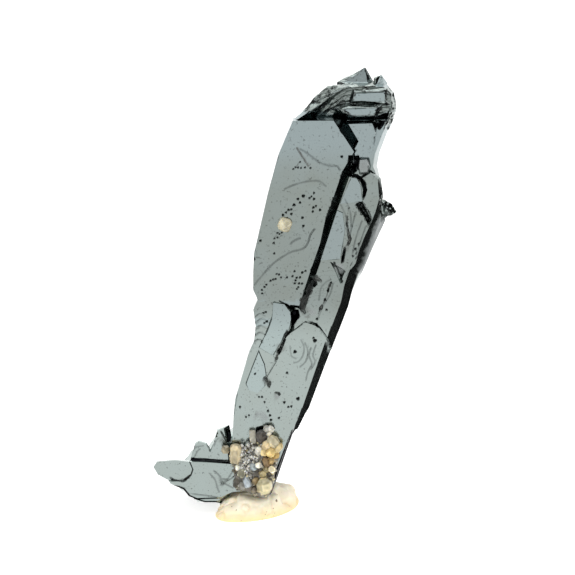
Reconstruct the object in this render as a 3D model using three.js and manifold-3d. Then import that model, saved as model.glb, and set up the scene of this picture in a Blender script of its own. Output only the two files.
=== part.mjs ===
// Hematite specimen: tabular hematite crystals grown together into one leaning group, with a crust of
// quartz grains at its base, one pale grain on its front face, and the putty lump that holds it upright.
// Millimetres, +Z up. Seen from the front, +X is to the right and +Y points away from the viewer.

import * as THREE from "three";
import { ConvexGeometry } from "three/addons/geometries/ConvexGeometry.js";
import { mergeVertices } from "three/addons/utils/BufferGeometryUtils.js";
import Module from "manifold-3d";

const wasm = await Module();
wasm.setup();

// Depths of the parallel front faces along Y, nearest the viewer first
const MAIN_FACE = -4.2;
const LEFT_FACE = -3.95;
const NECK_FACE = -3.8;
const FOOT_FACE = -3.4;
const LOWER_FACE = -3.3;
const SMALL_FACE = -2.6;
const SECOND_FACE = -2.5;

// Depths of the widest line around the plates, and of their back faces
const FOOT_RIM = -3.05;
const LOWER_RIM = -2.7;
const LAYER_RIM = -2.65;
const MAIN_RIM = -2.3;
const SMALL_RIM = -2.2;
const NECK_RIM = -1.8;
const LEFT_RIM = -1.5;
const SECOND_RIM = -1.6;
const LOWER_BACK_RIM = 0.6;
const BACK_RIM = 0.3;
const LEFT_BACK = -0.3;
const MAIN_BACK = -0.9;
const UPPER_BACK = 0.4;
const LAYER_BACK = 5.6;
const SMALL_BACK = 7.6;
const FOOT_BACK = 8.2;
const LOWER_BACK = 3.8;

// The left plate leans back downward from this height, by this much for each millimetre
const LEFT_TOP = 29.0;
const LEFT_LEAN = 0.054;

// How far the growth tablets stand above the face that they lie on, and how deep they root in it
const TABLET_RISE = 0.3;
const TABLET_ROOT = 1.0;

// How far the layers of the foot stand apart
const LAYER_STEP = 0.4;

// Clear space between neighbouring pieces
const GAP = 0.3;

// The crust of grains lies in front of the lower face
const CRUST_BACK = -3.75;
const CRUST_RIM = -4.1;
const CRUST_FRONT = -4.6;

// The putty lump: middle of its outline on the floor, and its height
const PUTTY_MIDDLE = [-2.7, 0.8];
const PUTTY_HEIGHT = 3.1;

// Middle of the whole specimen's depth, which becomes Y = 0
const DEPTH_MIDDLE = 2.438;

// Outlines run clockwise as seen from the front. Each corner is [x, z, bevel], where bevel is how far
// the edge that starts at that corner slopes outward between the front face and the rim.
const MAIN_PLATE = [
  [2.3, 52.6, 0.1], [7.5, 52.6, 1.3], [10.1, 48.6, 1.1], [8.7, 46.2, 1.35], [8.3, 45.0, 1.3],
  [6.4, 39.5, 1.2], [5.8, 36.7, 1.1], [4.5, 32.9, 1.05], [3.0, 28.1, 0.1], [2.0, 28.5, 0.1],
  [0.5, 29.3, 0.1], [-2.1, 29.0, 0.0], [-2.8, 30.6, 0.0], [-2.8, 33.0, 0.0], [-2.7, 35.3, 0.0],
  [-0.9, 43.1, 0.0], [0.5, 48.3, 0.0],
];
const LEFT_PLATE = [
  [-2.1, 29.6, 0.0], [0.4, 29.4, 0.0], [1.2, 28.8, 0.1], [2.1, 27.6, 0.1], [2.3, 26.8, 0.1],
  [1.8, 25.1, 0.1], [-0.2, 21.7, 0.1], [0.2, 20.9, 0.1], [-1.1, 18.8, 0.1], [-0.9, 17.0, 0.0],
  [-1.5, 12.0, 0.0], [-5.4, 12.0, 0.0], [-5.4, 13.6, 0.0], [-5.2, 15.8, 0.0], [-3.3, 22.4, 0.0],
  [-2.7, 23.7, 0.0], [-2.5, 25.7, 0.0], [-2.8, 27.9, 0.0],
];
const LOWER_PLATE = [
  [1.9, 24.6, 0.15], [4.0, 26.1, 0.15], [5.6, 25.5, 0.2], [6.65, 24.0, 1.1], [3.6, 14.9, 0.65],
  [2.75, 12.7, 0.38], [2.0, 11.2, 0.28], [-0.65, 3.3, 0.28], [-1.3, 2.6, 0.2], [-2.2, 2.8, 0.2],
  [-3.9, 3.6, 0.1], [-5.6, 3.4, 0.0], [-5.6, 9.6, 0.0], [-5.4, 13.4, 0.0], [-4.8, 17.0, 0.0],
];
const SECOND_PLATE = [
  [6.0, 44.2, 0.0], [9.8, 45.1, 0.2], [11.1, 44.8, 0.2], [12.2, 45.5, 0.3], [13.2, 44.7, 0.4],
  [13.4, 42.2, 0.8], [12.5, 38.8, 0.85], [11.4, 35.4, 0.75], [10.85, 33.75, 0.75], [10.0, 32.7, 0.95],
  [9.2, 31.1, 1.15], [8.4, 28.4, 1.15], [6.5, 23.4, 1.2], [3.5, 14.7, 0.7], [2.2, 11.5, 0.1],
  [0.0, 11.5, 0.0], [2.0, 30.0, 0.0],
];
const NECK_PLATE = [
  [9.4, 52.1, 0.1], [12.4, 52.2, 0.3], [12.9, 51.2, 0.15], [12.8, 50.2, 0.1], [12.5, 49.2, 0.1],
  [12.2, 47.8, 0.1], [10.3, 47.9, 0.0], [10.1, 48.7, 0.0], [10.7, 49.9, 0.0],
];

// Plates at the back, which show from the sides and from behind
const UPPER_BACK_PLATE = [
  [6.0, 53.2, 0.0], [14.9, 53.3, 0.7], [14.1, 51.4, 0.7], [12.85, 47.9, 0.6], [12.6, 46.3, 0.4],
  [12.95, 45.4, 0.4], [13.35, 43.0, 0.55], [13.7, 39.2, 0.7], [12.1, 35.6, 0.65], [10.9, 32.4, 0.45],
  [9.8, 29.6, 0.1], [6.4, 24.0, 0.0], [3.4, 27.0, 0.0], [2.6, 38.0, 0.0], [4.6, 47.0, 0.0],
];
const LOWER_BACK_PLATE = [
  [-1.6, 27.6, 0.3], [1.4, 29.2, 0.3], [4.2, 26.6, 0.4], [3.6, 22.4, 0.4], [1.8, 14.2, 0.3],
  [1.2, 11.2, 0.2], [-0.9, 3.6, 0.1], [-4.4, 3.4, 0.1], [-5.0, 8.0, 0.1], [-4.5, 15.4, 0.1],
];
const BACK_TABLETS = [
  { corners: [[3.2, 51.0], [6.6, 50.2], [5.4, 41.0], [1.6, 38.6], [0.9, 43.2]], rise: 0.5 },
  { corners: [[-1.2, 36.6], [1.4, 38.0], [2.4, 33.4], [0.2, 30.4], [-1.8, 31.6]], rise: 0.4 },
];
// A sunken panel in the back of the upper plate, where its growth lagged behind its edges
const BACK_PANEL = {
  corners: [[5.3, 50.6], [8.7, 50.8], [8.5, 45.4], [11.8, 43.6], [10.0, 37.4], [6.6, 34.6], [4.6, 40.8]],
  floor: -0.75,
  share: 0.9,
};
const LOWER_BACK_TABLETS = [
  { corners: [[-0.6, 25.6], [1.6, 26.8], [2.6, 24.4], [1.2, 18.2], [-1.8, 17.2]], rise: 0.6 },
  { corners: [[-3.4, 15.6], [0.2, 16.0], [0.4, 12.2], [-1.2, 8.6], [-3.6, 9.6]], rise: 0.4 },
];

// Growth tablets on the front faces
const LEFT_TABLETS = [
  [
    [-0.2, 28.9, 0.1], [1.2, 28.7, 0.1], [2.0, 27.6, 0.1], [2.2, 26.8, 0.1], [1.7, 25.2, 0.1],
    [0.3, 22.9, 0.1], [-0.3, 21.9, 0.1], [-2.0, 22.9, 0.1], [-1.1, 24.8, 0.1], [-0.3, 27.2, 0.1],
  ],
  [
    [-2.1, 22.3, 0.1], [-1.4, 20.6, 0.1], [-1.2, 19.3, 0.1], [-1.4, 17.7, 0.1], [-2.3, 16.9, 0.1],
    [-3.4, 17.3, 0.1], [-3.7, 18.0, 0.1], [-3.2, 19.4, 0.1],
  ],
];
const SECOND_TABLETS = [
  [[9.8, 45.0, 0.1], [10.5, 44.9, 0.1], [11.0, 44.0, 0.1], [11.2, 41.9, 0.1], [8.4, 41.6, 0.0]],
  [[8.0, 40.7, 0.1], [8.7, 40.4, 0.1], [9.0, 38.2, 0.1], [8.4, 34.4, 0.1], [5.9, 34.2, 0.0]],
];

// The foot that sticks out to the left, its layers, and the small crystals standing on it
const FOOT_PLATE = [
  [-14.4, 7.2, 0.1], [-11.2, 7.5, 0.1], [-4.6, 7.3, 0.1], [-2.0, 6.6, 0.1], [-2.2, 2.9, 0.1],
  [-3.9, 3.6, 0.1], [-5.6, 3.4, 0.2], [-6.3, 3.1, 0.3], [-7.1, 2.7, 0.3], [-10.2, 2.6, 0.3],
  [-11.1, 3.0, 0.3], [-11.8, 3.9, 0.3], [-12.6, 4.2, 0.2], [-13.7, 4.6, 0.1], [-14.3, 5.6, 0.1],
];
const FOOT_UPPER_LAYER = [
  [-15.85, 6.9, 0.0], [-15.4, 7.6, 0.0], [-13.0, 7.8, 0.0], [-11.2, 7.6, 0.1], [-10.8, 6.6, 0.2],
  [-11.0, 6.0, 0.32], [-11.8, 5.2, 0.32], [-13.5, 5.1, 0.25], [-14.2, 5.3, 0.1], [-15.3, 5.9, 0.0],
];
const FOOT_LOWER_LAYER = [
  [-11.0, 3.7, 0.1], [-6.6, 3.4, 0.1], [-7.1, 2.4, 0.3], [-7.5, 2.1, 0.3], [-9.2, 2.1, 0.3],
  [-10.4, 2.5, 0.3],
];
const SMALL_CRYSTALS = [
  [
    [-11.1, 7.4, 0.0], [-10.5, 9.6, 0.1], [-9.9, 10.0, 0.1], [-9.0, 9.7, 0.1], [-8.4, 8.7, 0.1],
    [-8.3, 5.5, 0.0], [-11.1, 5.5, 0.0],
  ],
  [
    [-8.5, 8.4, 0.1], [-7.5, 11.5, 0.1], [-6.7, 11.8, 0.8], [-6.3, 9.6, 0.8], [-5.9, 5.5, 0.0],
    [-8.5, 5.5, 0.0],
  ],
];

// Flat six-sided crystals behind the foot, which balance the leaning group
const BACK_CLUSTER = [
  { at: [-8.4, 1.6, 4.0], radius: 3.8, thickness: 4.4, turn: [0, 0, 10] },
  { at: [-5.2, 4.6, 5.4], radius: 4.6, thickness: 4.4, turn: [6, 4, -30] },
  { at: [-9.0, 4.8, 4.0], radius: 3.5, thickness: 4.6, turn: [-10, 6, 36] },
  { at: [-2.6, 4.8, 7.4], radius: 4.2, thickness: 4.2, turn: [-6, 14, 24] },
  { at: [-7.0, 6.2, 4.2], radius: 3.6, thickness: 3.6, turn: [28, 0, 8] },
  { at: [-2.9, 6.8, 6.9], radius: 4.4, thickness: 3.4, turn: [-8, 20, -18] },
  { at: [-11.2, 2.6, 3.8], radius: 2.2, thickness: 5.2, turn: [0, 12, 14] },
  { at: [-9.6, 6.6, 3.9], radius: 2.8, thickness: 3.6, turn: [-16, 24, 52] },
  { at: [-5.8, 8.8, 4.6], radius: 4.2, thickness: 3.6, turn: [-6, 6, -10] },
  { at: [-9.6, 8.4, 3.2], radius: 2.5, thickness: 3.8, turn: [-8, 16, 30] },
  { at: [-9.3, 5.4, 2.7], radius: 2.5, thickness: 8.2, turn: [0, 0, 4] },
  { at: [-8.4, 8.1, 3.5], radius: 3.3, thickness: 5.2, turn: [0, 0, 6] },
  { at: [-6.0, 3.4, 2.0], radius: 4.0, thickness: 2.6, turn: [90, 20, 0] },
];

// The stepped head: rings of points from its front face over its crest to its back
const HEAD_FACE = [
  [3.0, -3.85, 52.8], [4.5, -3.6, 53.8], [6.0, -3.3, 54.7], [7.3, -3.0, 55.7], [8.8, -2.7, 56.6],
  [12.4, -2.3, 56.8], [14.0, -2.0, 56.5], [14.8, -1.8, 55.7], [15.0, -1.6, 54.5], [14.7, -1.5, 53.0],
  [14.1, -1.4, 51.7], [8.0, -1.6, 50.5], [3.4, -1.6, 50.8],
];
const HEAD_CREST = [
  [2.1, -3.0, 52.3], [3.2, -2.7, 53.3], [4.4, -2.4, 54.5], [5.1, -2.1, 55.3], [6.7, -1.8, 56.65],
  [12.6, -0.1, 57.0], [14.4, 0.1, 56.7], [15.3, 0.0, 55.6], [15.65, 0.0, 54.0], [15.3, 0.0, 52.2],
  [14.7, 0.0, 50.8], [8.0, -0.6, 50.0], [3.0, -0.8, 50.4],
];
const HEAD_BACK = [
  [4.0, -0.9, 51.8], [5.0, -0.7, 53.0], [5.8, -0.6, 54.0], [7.0, -0.4, 54.8], [8.8, -0.2, 55.4],
  [12.3, 0.2, 55.8], [13.6, 0.4, 55.5], [14.2, 0.4, 54.6], [14.5, 0.4, 53.6], [14.2, 0.4, 52.0],
  [13.6, 0.4, 50.8], [8.0, -0.2, 50.0], [4.0, -0.7, 50.2],
];
const HEAD_TIERS = [
  {
    corners: [
      [8.3, 53.9, 0.2], [9.1, 54.1, 0.25], [13.1, 54.3, 0.5], [12.7, 53.2, 0.75], [9.8, 53.1, 0.6],
    ],
    front: -3.5,
    depth: 0.8,
  },
  {
    corners: [[9.9, 55.0, 0.3], [10.2, 56.1, 0.3], [14.0, 56.2, 0.3], [14.1, 54.7, 0.35]],
    front: -2.9,
    depth: 0.5,
  },
];
const TIER_BACK = -0.6;
const PYRAMID = [
  [8.0, -0.2, 56.8], [8.9, -1.0, 56.8], [11.9, -1.0, 56.9], [12.7, 0.0, 56.9], [10.4, -0.1, 58.2],
  [11.5, 0.0, 58.85], [11.7, 0.2, 58.7], [9.0, 0.5, 55.5], [12.5, 0.7, 55.6], [11.6, 0.7, 57.6],
];
const SECOND_TIP = [
  [12.7, 0.2, 56.9], [12.9, -0.3, 57.6], [13.7, 0.0, 57.9], [14.0, 0.2, 57.4], [14.5, 0.5, 56.7],
  [12.9, -1.2, 56.5], [14.0, -1.0, 56.5], [13.4, 0.7, 55.8],
];

// Lumps: under the neck, and the rough one on the right edge
const NECK_LUMP = [
  [10.9, -2.9, 47.3], [11.7, -2.9, 47.4], [12.0, -2.9, 46.5], [11.8, -2.9, 45.8], [11.0, -2.9, 45.7],
  [10.8, -2.9, 46.3], [10.7, -1.6, 47.4], [12.1, -1.6, 47.5], [12.5, -1.2, 46.2], [12.1, -1.6, 45.2],
  [10.9, -1.6, 45.2], [10.6, -1.6, 46.1], [11.6, 0.0, 46.4],
];
const EDGE_LUMP = [
  [13.4, -0.6, 42.1], [13.8, 0.2, 41.9], [15.2, -0.2, 41.0], [15.3, 0.6, 40.7], [15.85, 0.2, 39.9],
  [15.0, -0.6, 39.6], [14.6, 0.8, 39.3], [14.2, -0.4, 39.2], [13.0, -0.8, 39.8], [12.8, 1.0, 41.6],
  [13.0, 1.0, 39.6], [14.4, -1.1, 40.6],
];

// Hollows cut into the front: outline, depth of the floor, and the floor's size as a share of the outline
const HOLLOWS = [
  { corners: [[1.8, 29.1], [3.7, 28.9], [4.1, 27], [1.3, 22.8], [1.9, 26.6]], floor: -0.8, share: 0.1 },
  { corners: [[1.6, 25.2], [2.0, 24.8], [0.7, 21.6], [0.2, 20.8], [-0.2, 21.6]], floor: -2.4, share: 0.3 },
  {
    corners: [
      [9.8, 45.4], [10.6, 45.3], [11.3, 44.8], [11.7, 44.1], [11.9, 43.4], [11.7, 42.6], [11.3, 41.9],
      [11.2, 42.6], [11.2, 43.7], [11.0, 44.5], [10.5, 45.0], [9.8, 45.1],
    ],
    floor: -1.5,
    share: 0.96,
  },
  { corners: [[10.4, 41.4], [11.2, 41.9], [12.4, 39.5], [12.2, 38.7]], floor: -1.6, share: 0.75 },
  { corners: [[9.2, 48.5], [11.0, 48.6], [11.1, 46.6], [10.7, 44.7], [9.0, 44.6]], floor: -0.4, share: 0.1 },
  { corners: [[11.9, 53.2], [15.0, 53.1], [13.7, 50.4], [12.7, 50.5]], floor: -0.3, share: 0.1 },
  { corners: [[8.4, 34.0], [8.9, 35.8], [9.2, 35.8], [9.0, 34.4], [8.8, 33.6]], floor: -1.7, share: 0.5 },
  { corners: [[4.3, 26.3], [5.5, 26.0], [5.7, 25.3], [5.4, 25.5], [4.8, 26.1]], floor: -1.5, share: 0.9 },
  { corners: [[-2.5, 12.4], [-1.6, 12.7], [-1.1, 11.8], [-1.2, 10.2], [-2.4, 10.2]], floor: -2, share: 0.6 },
];
// A shallow facet that dips toward its left edge
const DIPPED_FACET = [
  [7.1, -3.2, 34.0], [9.4, -3.2, 32.8], [8.6, -3.2, 31.1], [7.1, -2.5, 34.0], [9.4, -2.55, 32.8],
  [8.6, -2.5, 31.1], [7.6, -2.05, 33.2], [8.4, -2.05, 31.6],
];

// Quartz grains of the crust: middle, radius, length, and turns about X, Y and Z in degrees
const GRAINS = [
  { at: [-5.2, -4.5, 8.9], radius: 0.75, length: 2.6, turn: [80, 0, 4] },
  { at: [-6.0, -4.3, 9.2], radius: 0.5, length: 1.2, turn: [60, 30, 0] },
  { at: [-2.8, -4.3, 11.6], radius: 0.45, length: 1.9, turn: [84, 0, 10] },
  { at: [-0.9, -4.4, 12.2], radius: 0.5, length: 1.1, turn: [50, 20, 30] },
  { at: [-0.1, -4.7, 10.2], radius: 1.1, length: 2.6, turn: [60, -24, 10] },
  { at: [-1.2, -4.8, 9.2], radius: 1.0, length: 2.2, turn: [70, 30, 40] },
  { at: [0.1, -4.6, 9.0], radius: 0.8, length: 1.8, turn: [40, 0, 70] },
  { at: [-2.3, -4.5, 9.2], radius: 0.55, length: 1.5, turn: [80, 40, 0] },
  { at: [-3.5, -4.4, 9.4], radius: 0.8, length: 1.8, turn: [50, 10, 20] },
  { at: [-3.0, -4.4, 8.4], radius: 0.7, length: 1.6, turn: [30, 60, 0] },
  { at: [-4.7, -4.5, 7.3], radius: 0.6, length: 1.3, turn: [20, 50, 30] },
  { at: [-4.3, -4.5, 6.4], radius: 0.7, length: 1.7, turn: [70, -20, 0] },
  { at: [-3.0, -4.4, 7.2], radius: 0.7, length: 1.6, turn: [60, 30, 60] },
  { at: [-2.2, -4.7, 7.6], radius: 0.65, length: 1.4, turn: [30, 0, 20] },
  { at: [-0.8, -4.5, 7.5], radius: 0.8, length: 2.2, turn: [80, -16, 0] },
  { at: [-0.5, -4.7, 6.9], radius: 0.55, length: 1.3, turn: [50, 40, 50] },
  { at: [-1.4, -4.8, 4.8], radius: 1.0, length: 3.1, turn: [82, -10, 0] },
  { at: [-4.4, -4.4, 5.1], radius: 0.75, length: 2.4, turn: [80, 16, 0] },
  { at: [-3.3, -4.3, 5.3], radius: 0.55, length: 2.2, turn: [84, -24, 0] },
  { at: [-2.4, -4.4, 5.8], radius: 0.7, length: 1.9, turn: [64, 10, 30] },
];
const CRUST_OUTLINE = [
  [-5.6, 9.8, 0], [-3.2, 10.6, 0], [-2.6, 12.2, 0], [-2.4, 10.0, 0], [-1.2, 10.0, 0], [-0.8, 12.4, 0],
  [0.4, 11.2, 0], [0.4, 8.6, 0], [-0.9, 4.0, 0], [-2.0, 3.4, 0], [-4.6, 4.2, 0], [-4.8, 7.0, 0],
];
const FACE_GRAIN = [
  [0.3, -4.5, 39.2], [0.8, -4.5, 40.0], [1.7, -4.5, 40.1], [2.2, -4.5, 39.3], [2.1, -4.5, 38.3],
  [0.8, -4.5, 38.3], [0.6, -5.3, 39.3], [1.1, -5.5, 39.7], [1.7, -5.4, 39.5], [1.8, -5.3, 38.8],
  [1.0, -5.3, 38.6],
];

// The putty's outline on the floor, in x and y
const PUTTY_OUTLINE = [
  [-8.4, -1.0], [-8.1, -3.9], [-7.0, -5.8], [-4.6, -6.3], [-2.0, -6.0], [0.5, -4.6], [2.6, -1.8],
  [3.4, 1.2], [3.4, 4.4], [1.8, 6.7], [-2.0, 7.7], [-6.0, 7.0], [-8.1, 4.8], [-8.6, 2.0],
];
// Numbers of the corners that the lump stands on, and how far the underside is drawn in between them
const PUTTY_FLOOR = [1, 3, 6, 7, 8, 9, 12];
const FLOOR_SHARE = 0.99;
const FLOOR_INSET = 0.97;
// Rings of the lump above the floor, from below: share of the outline and share of the height
const PUTTY_RINGS = [
  [1.0, 0.12], [1.0, 0.28], [0.97, 0.46], [0.9, 0.64], [0.78, 0.8], [0.6, 0.91],
  [0.38, 0.97], [0.16, 1.0],
];
// The lump is higher toward the right and the back
const PUTTY_SLOPE = [0.03, 0.01];

// Turns a closed geometry into a solid that can be joined and cut
function solidFrom(geometry) {
  const bare = new THREE.BufferGeometry();
  bare.setAttribute("position", geometry.getAttribute("position").clone());
  if (geometry.index) {
    bare.setIndex(geometry.index.clone());
  }
  const merged = mergeVertices(bare, 1e-4);
  const mesh = new wasm.Mesh({
    numProp: 3,
    vertProperties: new Float32Array(merged.getAttribute("position").array),
    triVerts: new Uint32Array(merged.index.array),
  });
  return new wasm.Manifold(mesh);
}

function geometryFrom(solid) {
  const mesh = solid.getMesh();
  const geometry = new THREE.BufferGeometry();
  geometry.setAttribute("position", new THREE.BufferAttribute(new Float32Array(mesh.vertProperties), 3));
  geometry.setIndex(new THREE.BufferAttribute(new Uint32Array(mesh.triVerts), 1));
  geometry.computeVertexNormals();
  return geometry;
}

function join(solids) {
  return solids.reduce((whole, solid) => whole.add(solid));
}

function convex(points) {
  return solidFrom(new ConvexGeometry(points.map((point) => new THREE.Vector3(...point))));
}

// Neighbouring edges that turn by less than this are moved together along their shared direction
const NEARLY_STRAIGHT = 0.35;

// A closed skin through rings of [x, y, z] points, with flat ends. The rings run clockwise as seen from
// the first end, and plane names the two coordinates that the ends are filled in.
function loft(rings, plane = [0, 2]) {
  const count = rings[0].length;
  const positions = rings.flat(2);
  const triangles = [];
  for (let ring = 0; ring + 1 < rings.length; ring += 1) {
    for (let i = 0; i < count; i += 1) {
      const next = (i + 1) % count;
      const a = ring * count + i;
      const b = ring * count + next;
      triangles.push(a, b, b + count, a, b + count, a + count);
    }
  }
  const lastRing = (rings.length - 1) * count;
  for (const [ring, start] of [[rings[0], 0], [rings.at(-1), lastRing]]) {
    const outline = ring.map((point) => new THREE.Vector2(point[plane[0]], point[plane[1]]));
    for (const [i, j, k] of THREE.ShapeUtils.triangulateShape(outline, [])) {
      const turnsLeft = THREE.ShapeUtils.area([outline[i], outline[j], outline[k]]) > 0;
      const facesOut = turnsLeft === (start === 0);
      triangles.push(start + i, start + (facesOut ? j : k), start + (facesOut ? k : j));
    }
  }
  const geometry = new THREE.BufferGeometry();
  geometry.setAttribute("position", new THREE.Float32BufferAttribute(positions, 3));
  geometry.setIndex(triangles);
  return solidFrom(geometry);
}

// Moves each edge of a clockwise outline outward by its own width and returns the new corners
function spread(outline, widths) {
  const count = outline.length;
  const normals = outline.map(([x, z], i) => {
    const [nextX, nextZ] = outline[(i + 1) % count];
    return new THREE.Vector2(z - nextZ, nextX - x).normalize();
  });
  return outline.map(([x, z], i) => {
    const before = (i + count - 1) % count;
    const m = normals[before];
    const n = normals[i];
    const cross = m.x * n.y - m.y * n.x;
    if (Math.abs(cross) < NEARLY_STRAIGHT) {
      const middle = m.clone().add(n).normalize().multiplyScalar((widths[before] + widths[i]) / 2);
      return [x + middle.x, z + middle.y];
    }
    const moveX = (widths[before] * n.y - widths[i] * m.y) / cross;
    const moveZ = (widths[i] * m.x - widths[before] * n.x) / cross;
    return [x + moveX, z + moveZ];
  });
}

// A tabular crystal: its front face slopes outward to the rim by each edge's bevel, and behind the rim
// every edge tucks in toward the back face, which sits lower by drop. lean moves the front face back
// below the height leanFrom.
function plate(corners, { front, rim, back, tuck, drop = 0, lean = 0, leanFrom = 0 }) {
  const face = corners.map(([x, z]) => [x, z]);
  const wide = spread(face, corners.map(([, , bevel = 0]) => bevel));
  const narrow = spread(wide, corners.map(() => -tuck));
  return loft([
    face.map(([x, z]) => [x, front + lean * (leanFrom - z), z]),
    wide.map(([x, z]) => [x, rim, z]),
    narrow.map(([x, z]) => [x, back, z - drop]),
  ]);
}

// A thin tablet that lies on a front face
function tablet(corners, face, lean = 0, leanFrom = 0) {
  const front = face - TABLET_RISE;
  const back = face + TABLET_ROOT;
  return plate(corners, { front, rim: (front + back) / 2, back, tuck: 0.1, lean, leanFrom });
}

// A thin tablet that lies on a back face
function backTablet({ corners, rise }, face) {
  return plate(corners, { front: face - TABLET_ROOT, rim: face, back: face + rise, tuck: rise });
}

// A flat six-sided crystal with bevelled edges, turned by angles in degrees
function sixSided({ at, radius, thickness, turn }) {
  const rings = [[-thickness / 2, 0.8], [0, 1], [thickness / 2, 0.8]];
  const angles = turn.map(THREE.MathUtils.degToRad);
  const points = rings.flatMap(([depth, share]) =>
    Array.from({ length: 6 }, (_, i) => {
      const angle = (i * Math.PI) / 3;
      const corner = new THREE.Vector3(
        radius * share * Math.cos(angle),
        depth,
        radius * share * Math.sin(angle),
      );
      return corner.applyEuler(new THREE.Euler(...angles)).add(new THREE.Vector3(...at)).toArray();
    }),
  );
  return convex(points);
}

// A six-sided grain with pointed ends, cut off behind the crust's back
function grain({ at, radius, length, turn }) {
  const angles = turn.map(THREE.MathUtils.degToRad);
  const rings = [[-0.5, 0.1], [-0.28, 1], [0.24, 0.94], [0.5, 0.16]];
  const points = rings.flatMap(([height, share]) =>
    Array.from({ length: 6 }, (_, i) => {
      const angle = (i * Math.PI) / 3;
      const corner = new THREE.Vector3(
        radius * share * Math.cos(angle),
        length * height,
        radius * share * Math.sin(angle),
      );
      corner.applyEuler(new THREE.Euler(...angles)).add(new THREE.Vector3(...at));
      corner.y = Math.min(corner.y, CRUST_BACK);
      return corner.toArray();
    }),
  );
  return convex(points);
}

// A hollow that opens at a depth and narrows toward its floor
function hollow({ corners, floor, share }, open) {
  const opening = corners.map(([x, z]) => [x, open, z]);
  const middleX = corners.reduce((sum, [x]) => sum + x, 0) / corners.length;
  const middleZ = corners.reduce((sum, [, z]) => sum + z, 0) / corners.length;
  const bottom = corners.map(([x, z]) => [
    middleX + share * (x - middleX),
    floor,
    middleZ + share * (z - middleZ),
  ]);
  return loft(open < floor ? [opening, bottom] : [bottom, opening]);
}

function frontPlates() {
  const leftLean = { lean: LEFT_LEAN, leanFrom: LEFT_TOP };
  return [
    plate(MAIN_PLATE, { front: MAIN_FACE, rim: MAIN_RIM, back: MAIN_BACK, tuck: 0.9 }),
    plate(LEFT_PLATE, { front: LEFT_FACE, rim: LEFT_RIM, back: LEFT_BACK, tuck: 0.8, ...leftLean }),
    plate(LOWER_PLATE, { front: LOWER_FACE, rim: LOWER_RIM, back: BACK_RIM, tuck: 0.6 }),
    plate(SECOND_PLATE, { front: SECOND_FACE, rim: SECOND_RIM, back: BACK_RIM, tuck: 0.6 }),
    plate(NECK_PLATE, { front: NECK_FACE, rim: NECK_RIM, back: MAIN_BACK, tuck: 0.6 }),
    ...LEFT_TABLETS.map((corners) => tablet(corners, LEFT_FACE, LEFT_LEAN, LEFT_TOP)),
    ...SECOND_TABLETS.map((corners) => tablet(corners, SECOND_FACE)),
  ];
}

function backPlates() {
  return [
    plate(UPPER_BACK_PLATE, { front: SECOND_RIM, rim: BACK_RIM, back: UPPER_BACK, tuck: 0.8 }),
    plate(LOWER_BACK_PLATE, { front: SECOND_RIM, rim: LOWER_BACK_RIM, back: LOWER_BACK, tuck: 0.9 }),
    ...BACK_TABLETS.map((shape) => backTablet(shape, MAIN_BACK)),
    ...LOWER_BACK_TABLETS.map((shape) => backTablet(shape, LOWER_BACK)),
    ...BACK_CLUSTER.map(sixSided),
  ];
}

// The tops of the foot and of the small crystals fall away toward the back
function foot() {
  const upper = FOOT_FACE - LAYER_STEP;
  const lower = FOOT_FACE + LAYER_STEP;
  return [
    plate(FOOT_PLATE, { front: FOOT_FACE, rim: FOOT_RIM, back: FOOT_BACK, tuck: 0.4, drop: 2.5 }),
    plate(FOOT_UPPER_LAYER, { front: upper, rim: FOOT_FACE, back: LAYER_BACK, tuck: 0.3, drop: 2.1 }),
    plate(FOOT_LOWER_LAYER, { front: lower, rim: LAYER_RIM, back: LEFT_BACK, tuck: 0.3 }),
    ...SMALL_CRYSTALS.map((corners) =>
      plate(corners, { front: SMALL_FACE, rim: SMALL_RIM, back: SMALL_BACK, tuck: 0.5, drop: 2.3 }),
    ),
  ];
}

function head() {
  return [
    loft([HEAD_FACE, HEAD_CREST, HEAD_BACK]),
    ...HEAD_TIERS.map(({ corners, front, depth }) =>
      plate(corners, { front, rim: front + depth, back: TIER_BACK, tuck: 0.3 }),
    ),
    ...[PYRAMID, SECOND_TIP, NECK_LUMP].map(convex),
  ];
}

function hematite() {
  const whole = join([...frontPlates(), ...backPlates(), ...foot(), ...head(), convex(EDGE_LUMP)]);
  const cutters = [
    ...HOLLOWS.map((shape) => hollow(shape, MAIN_FACE - TABLET_ROOT)),
    hollow(BACK_PANEL, UPPER_BACK + TABLET_RISE),
    convex(DIPPED_FACET),
  ];
  return cutters.reduce((solid, cutter) => solid.subtract(cutter), whole);
}

function crust() {
  const base = plate(CRUST_OUTLINE, { front: CRUST_FRONT, rim: CRUST_RIM, back: CRUST_BACK, tuck: 0 });
  return join([base, ...GRAINS.map(grain)]);
}

// The outline of the flat underside: straight between the corners that the lump stands on
function puttyFloor() {
  const count = PUTTY_OUTLINE.length;
  return PUTTY_OUTLINE.map((corner, i) => {
    if (PUTTY_FLOOR.includes(i)) {
      return corner;
    }
    const next = PUTTY_FLOOR.find((number) => number > i) ?? PUTTY_FLOOR[0] + count;
    const last = PUTTY_FLOOR.findLast((number) => number < i) ?? PUTTY_FLOOR.at(-1) - count;
    const from = new THREE.Vector2(...PUTTY_OUTLINE[(last + count) % count]);
    const to = new THREE.Vector2(...PUTTY_OUTLINE[next % count]);
    const middle = new THREE.Vector2(...PUTTY_MIDDLE);
    return middle.lerp(from.lerp(to, (i - last) / (next - last)), FLOOR_INSET).toArray();
  });
}

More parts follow.
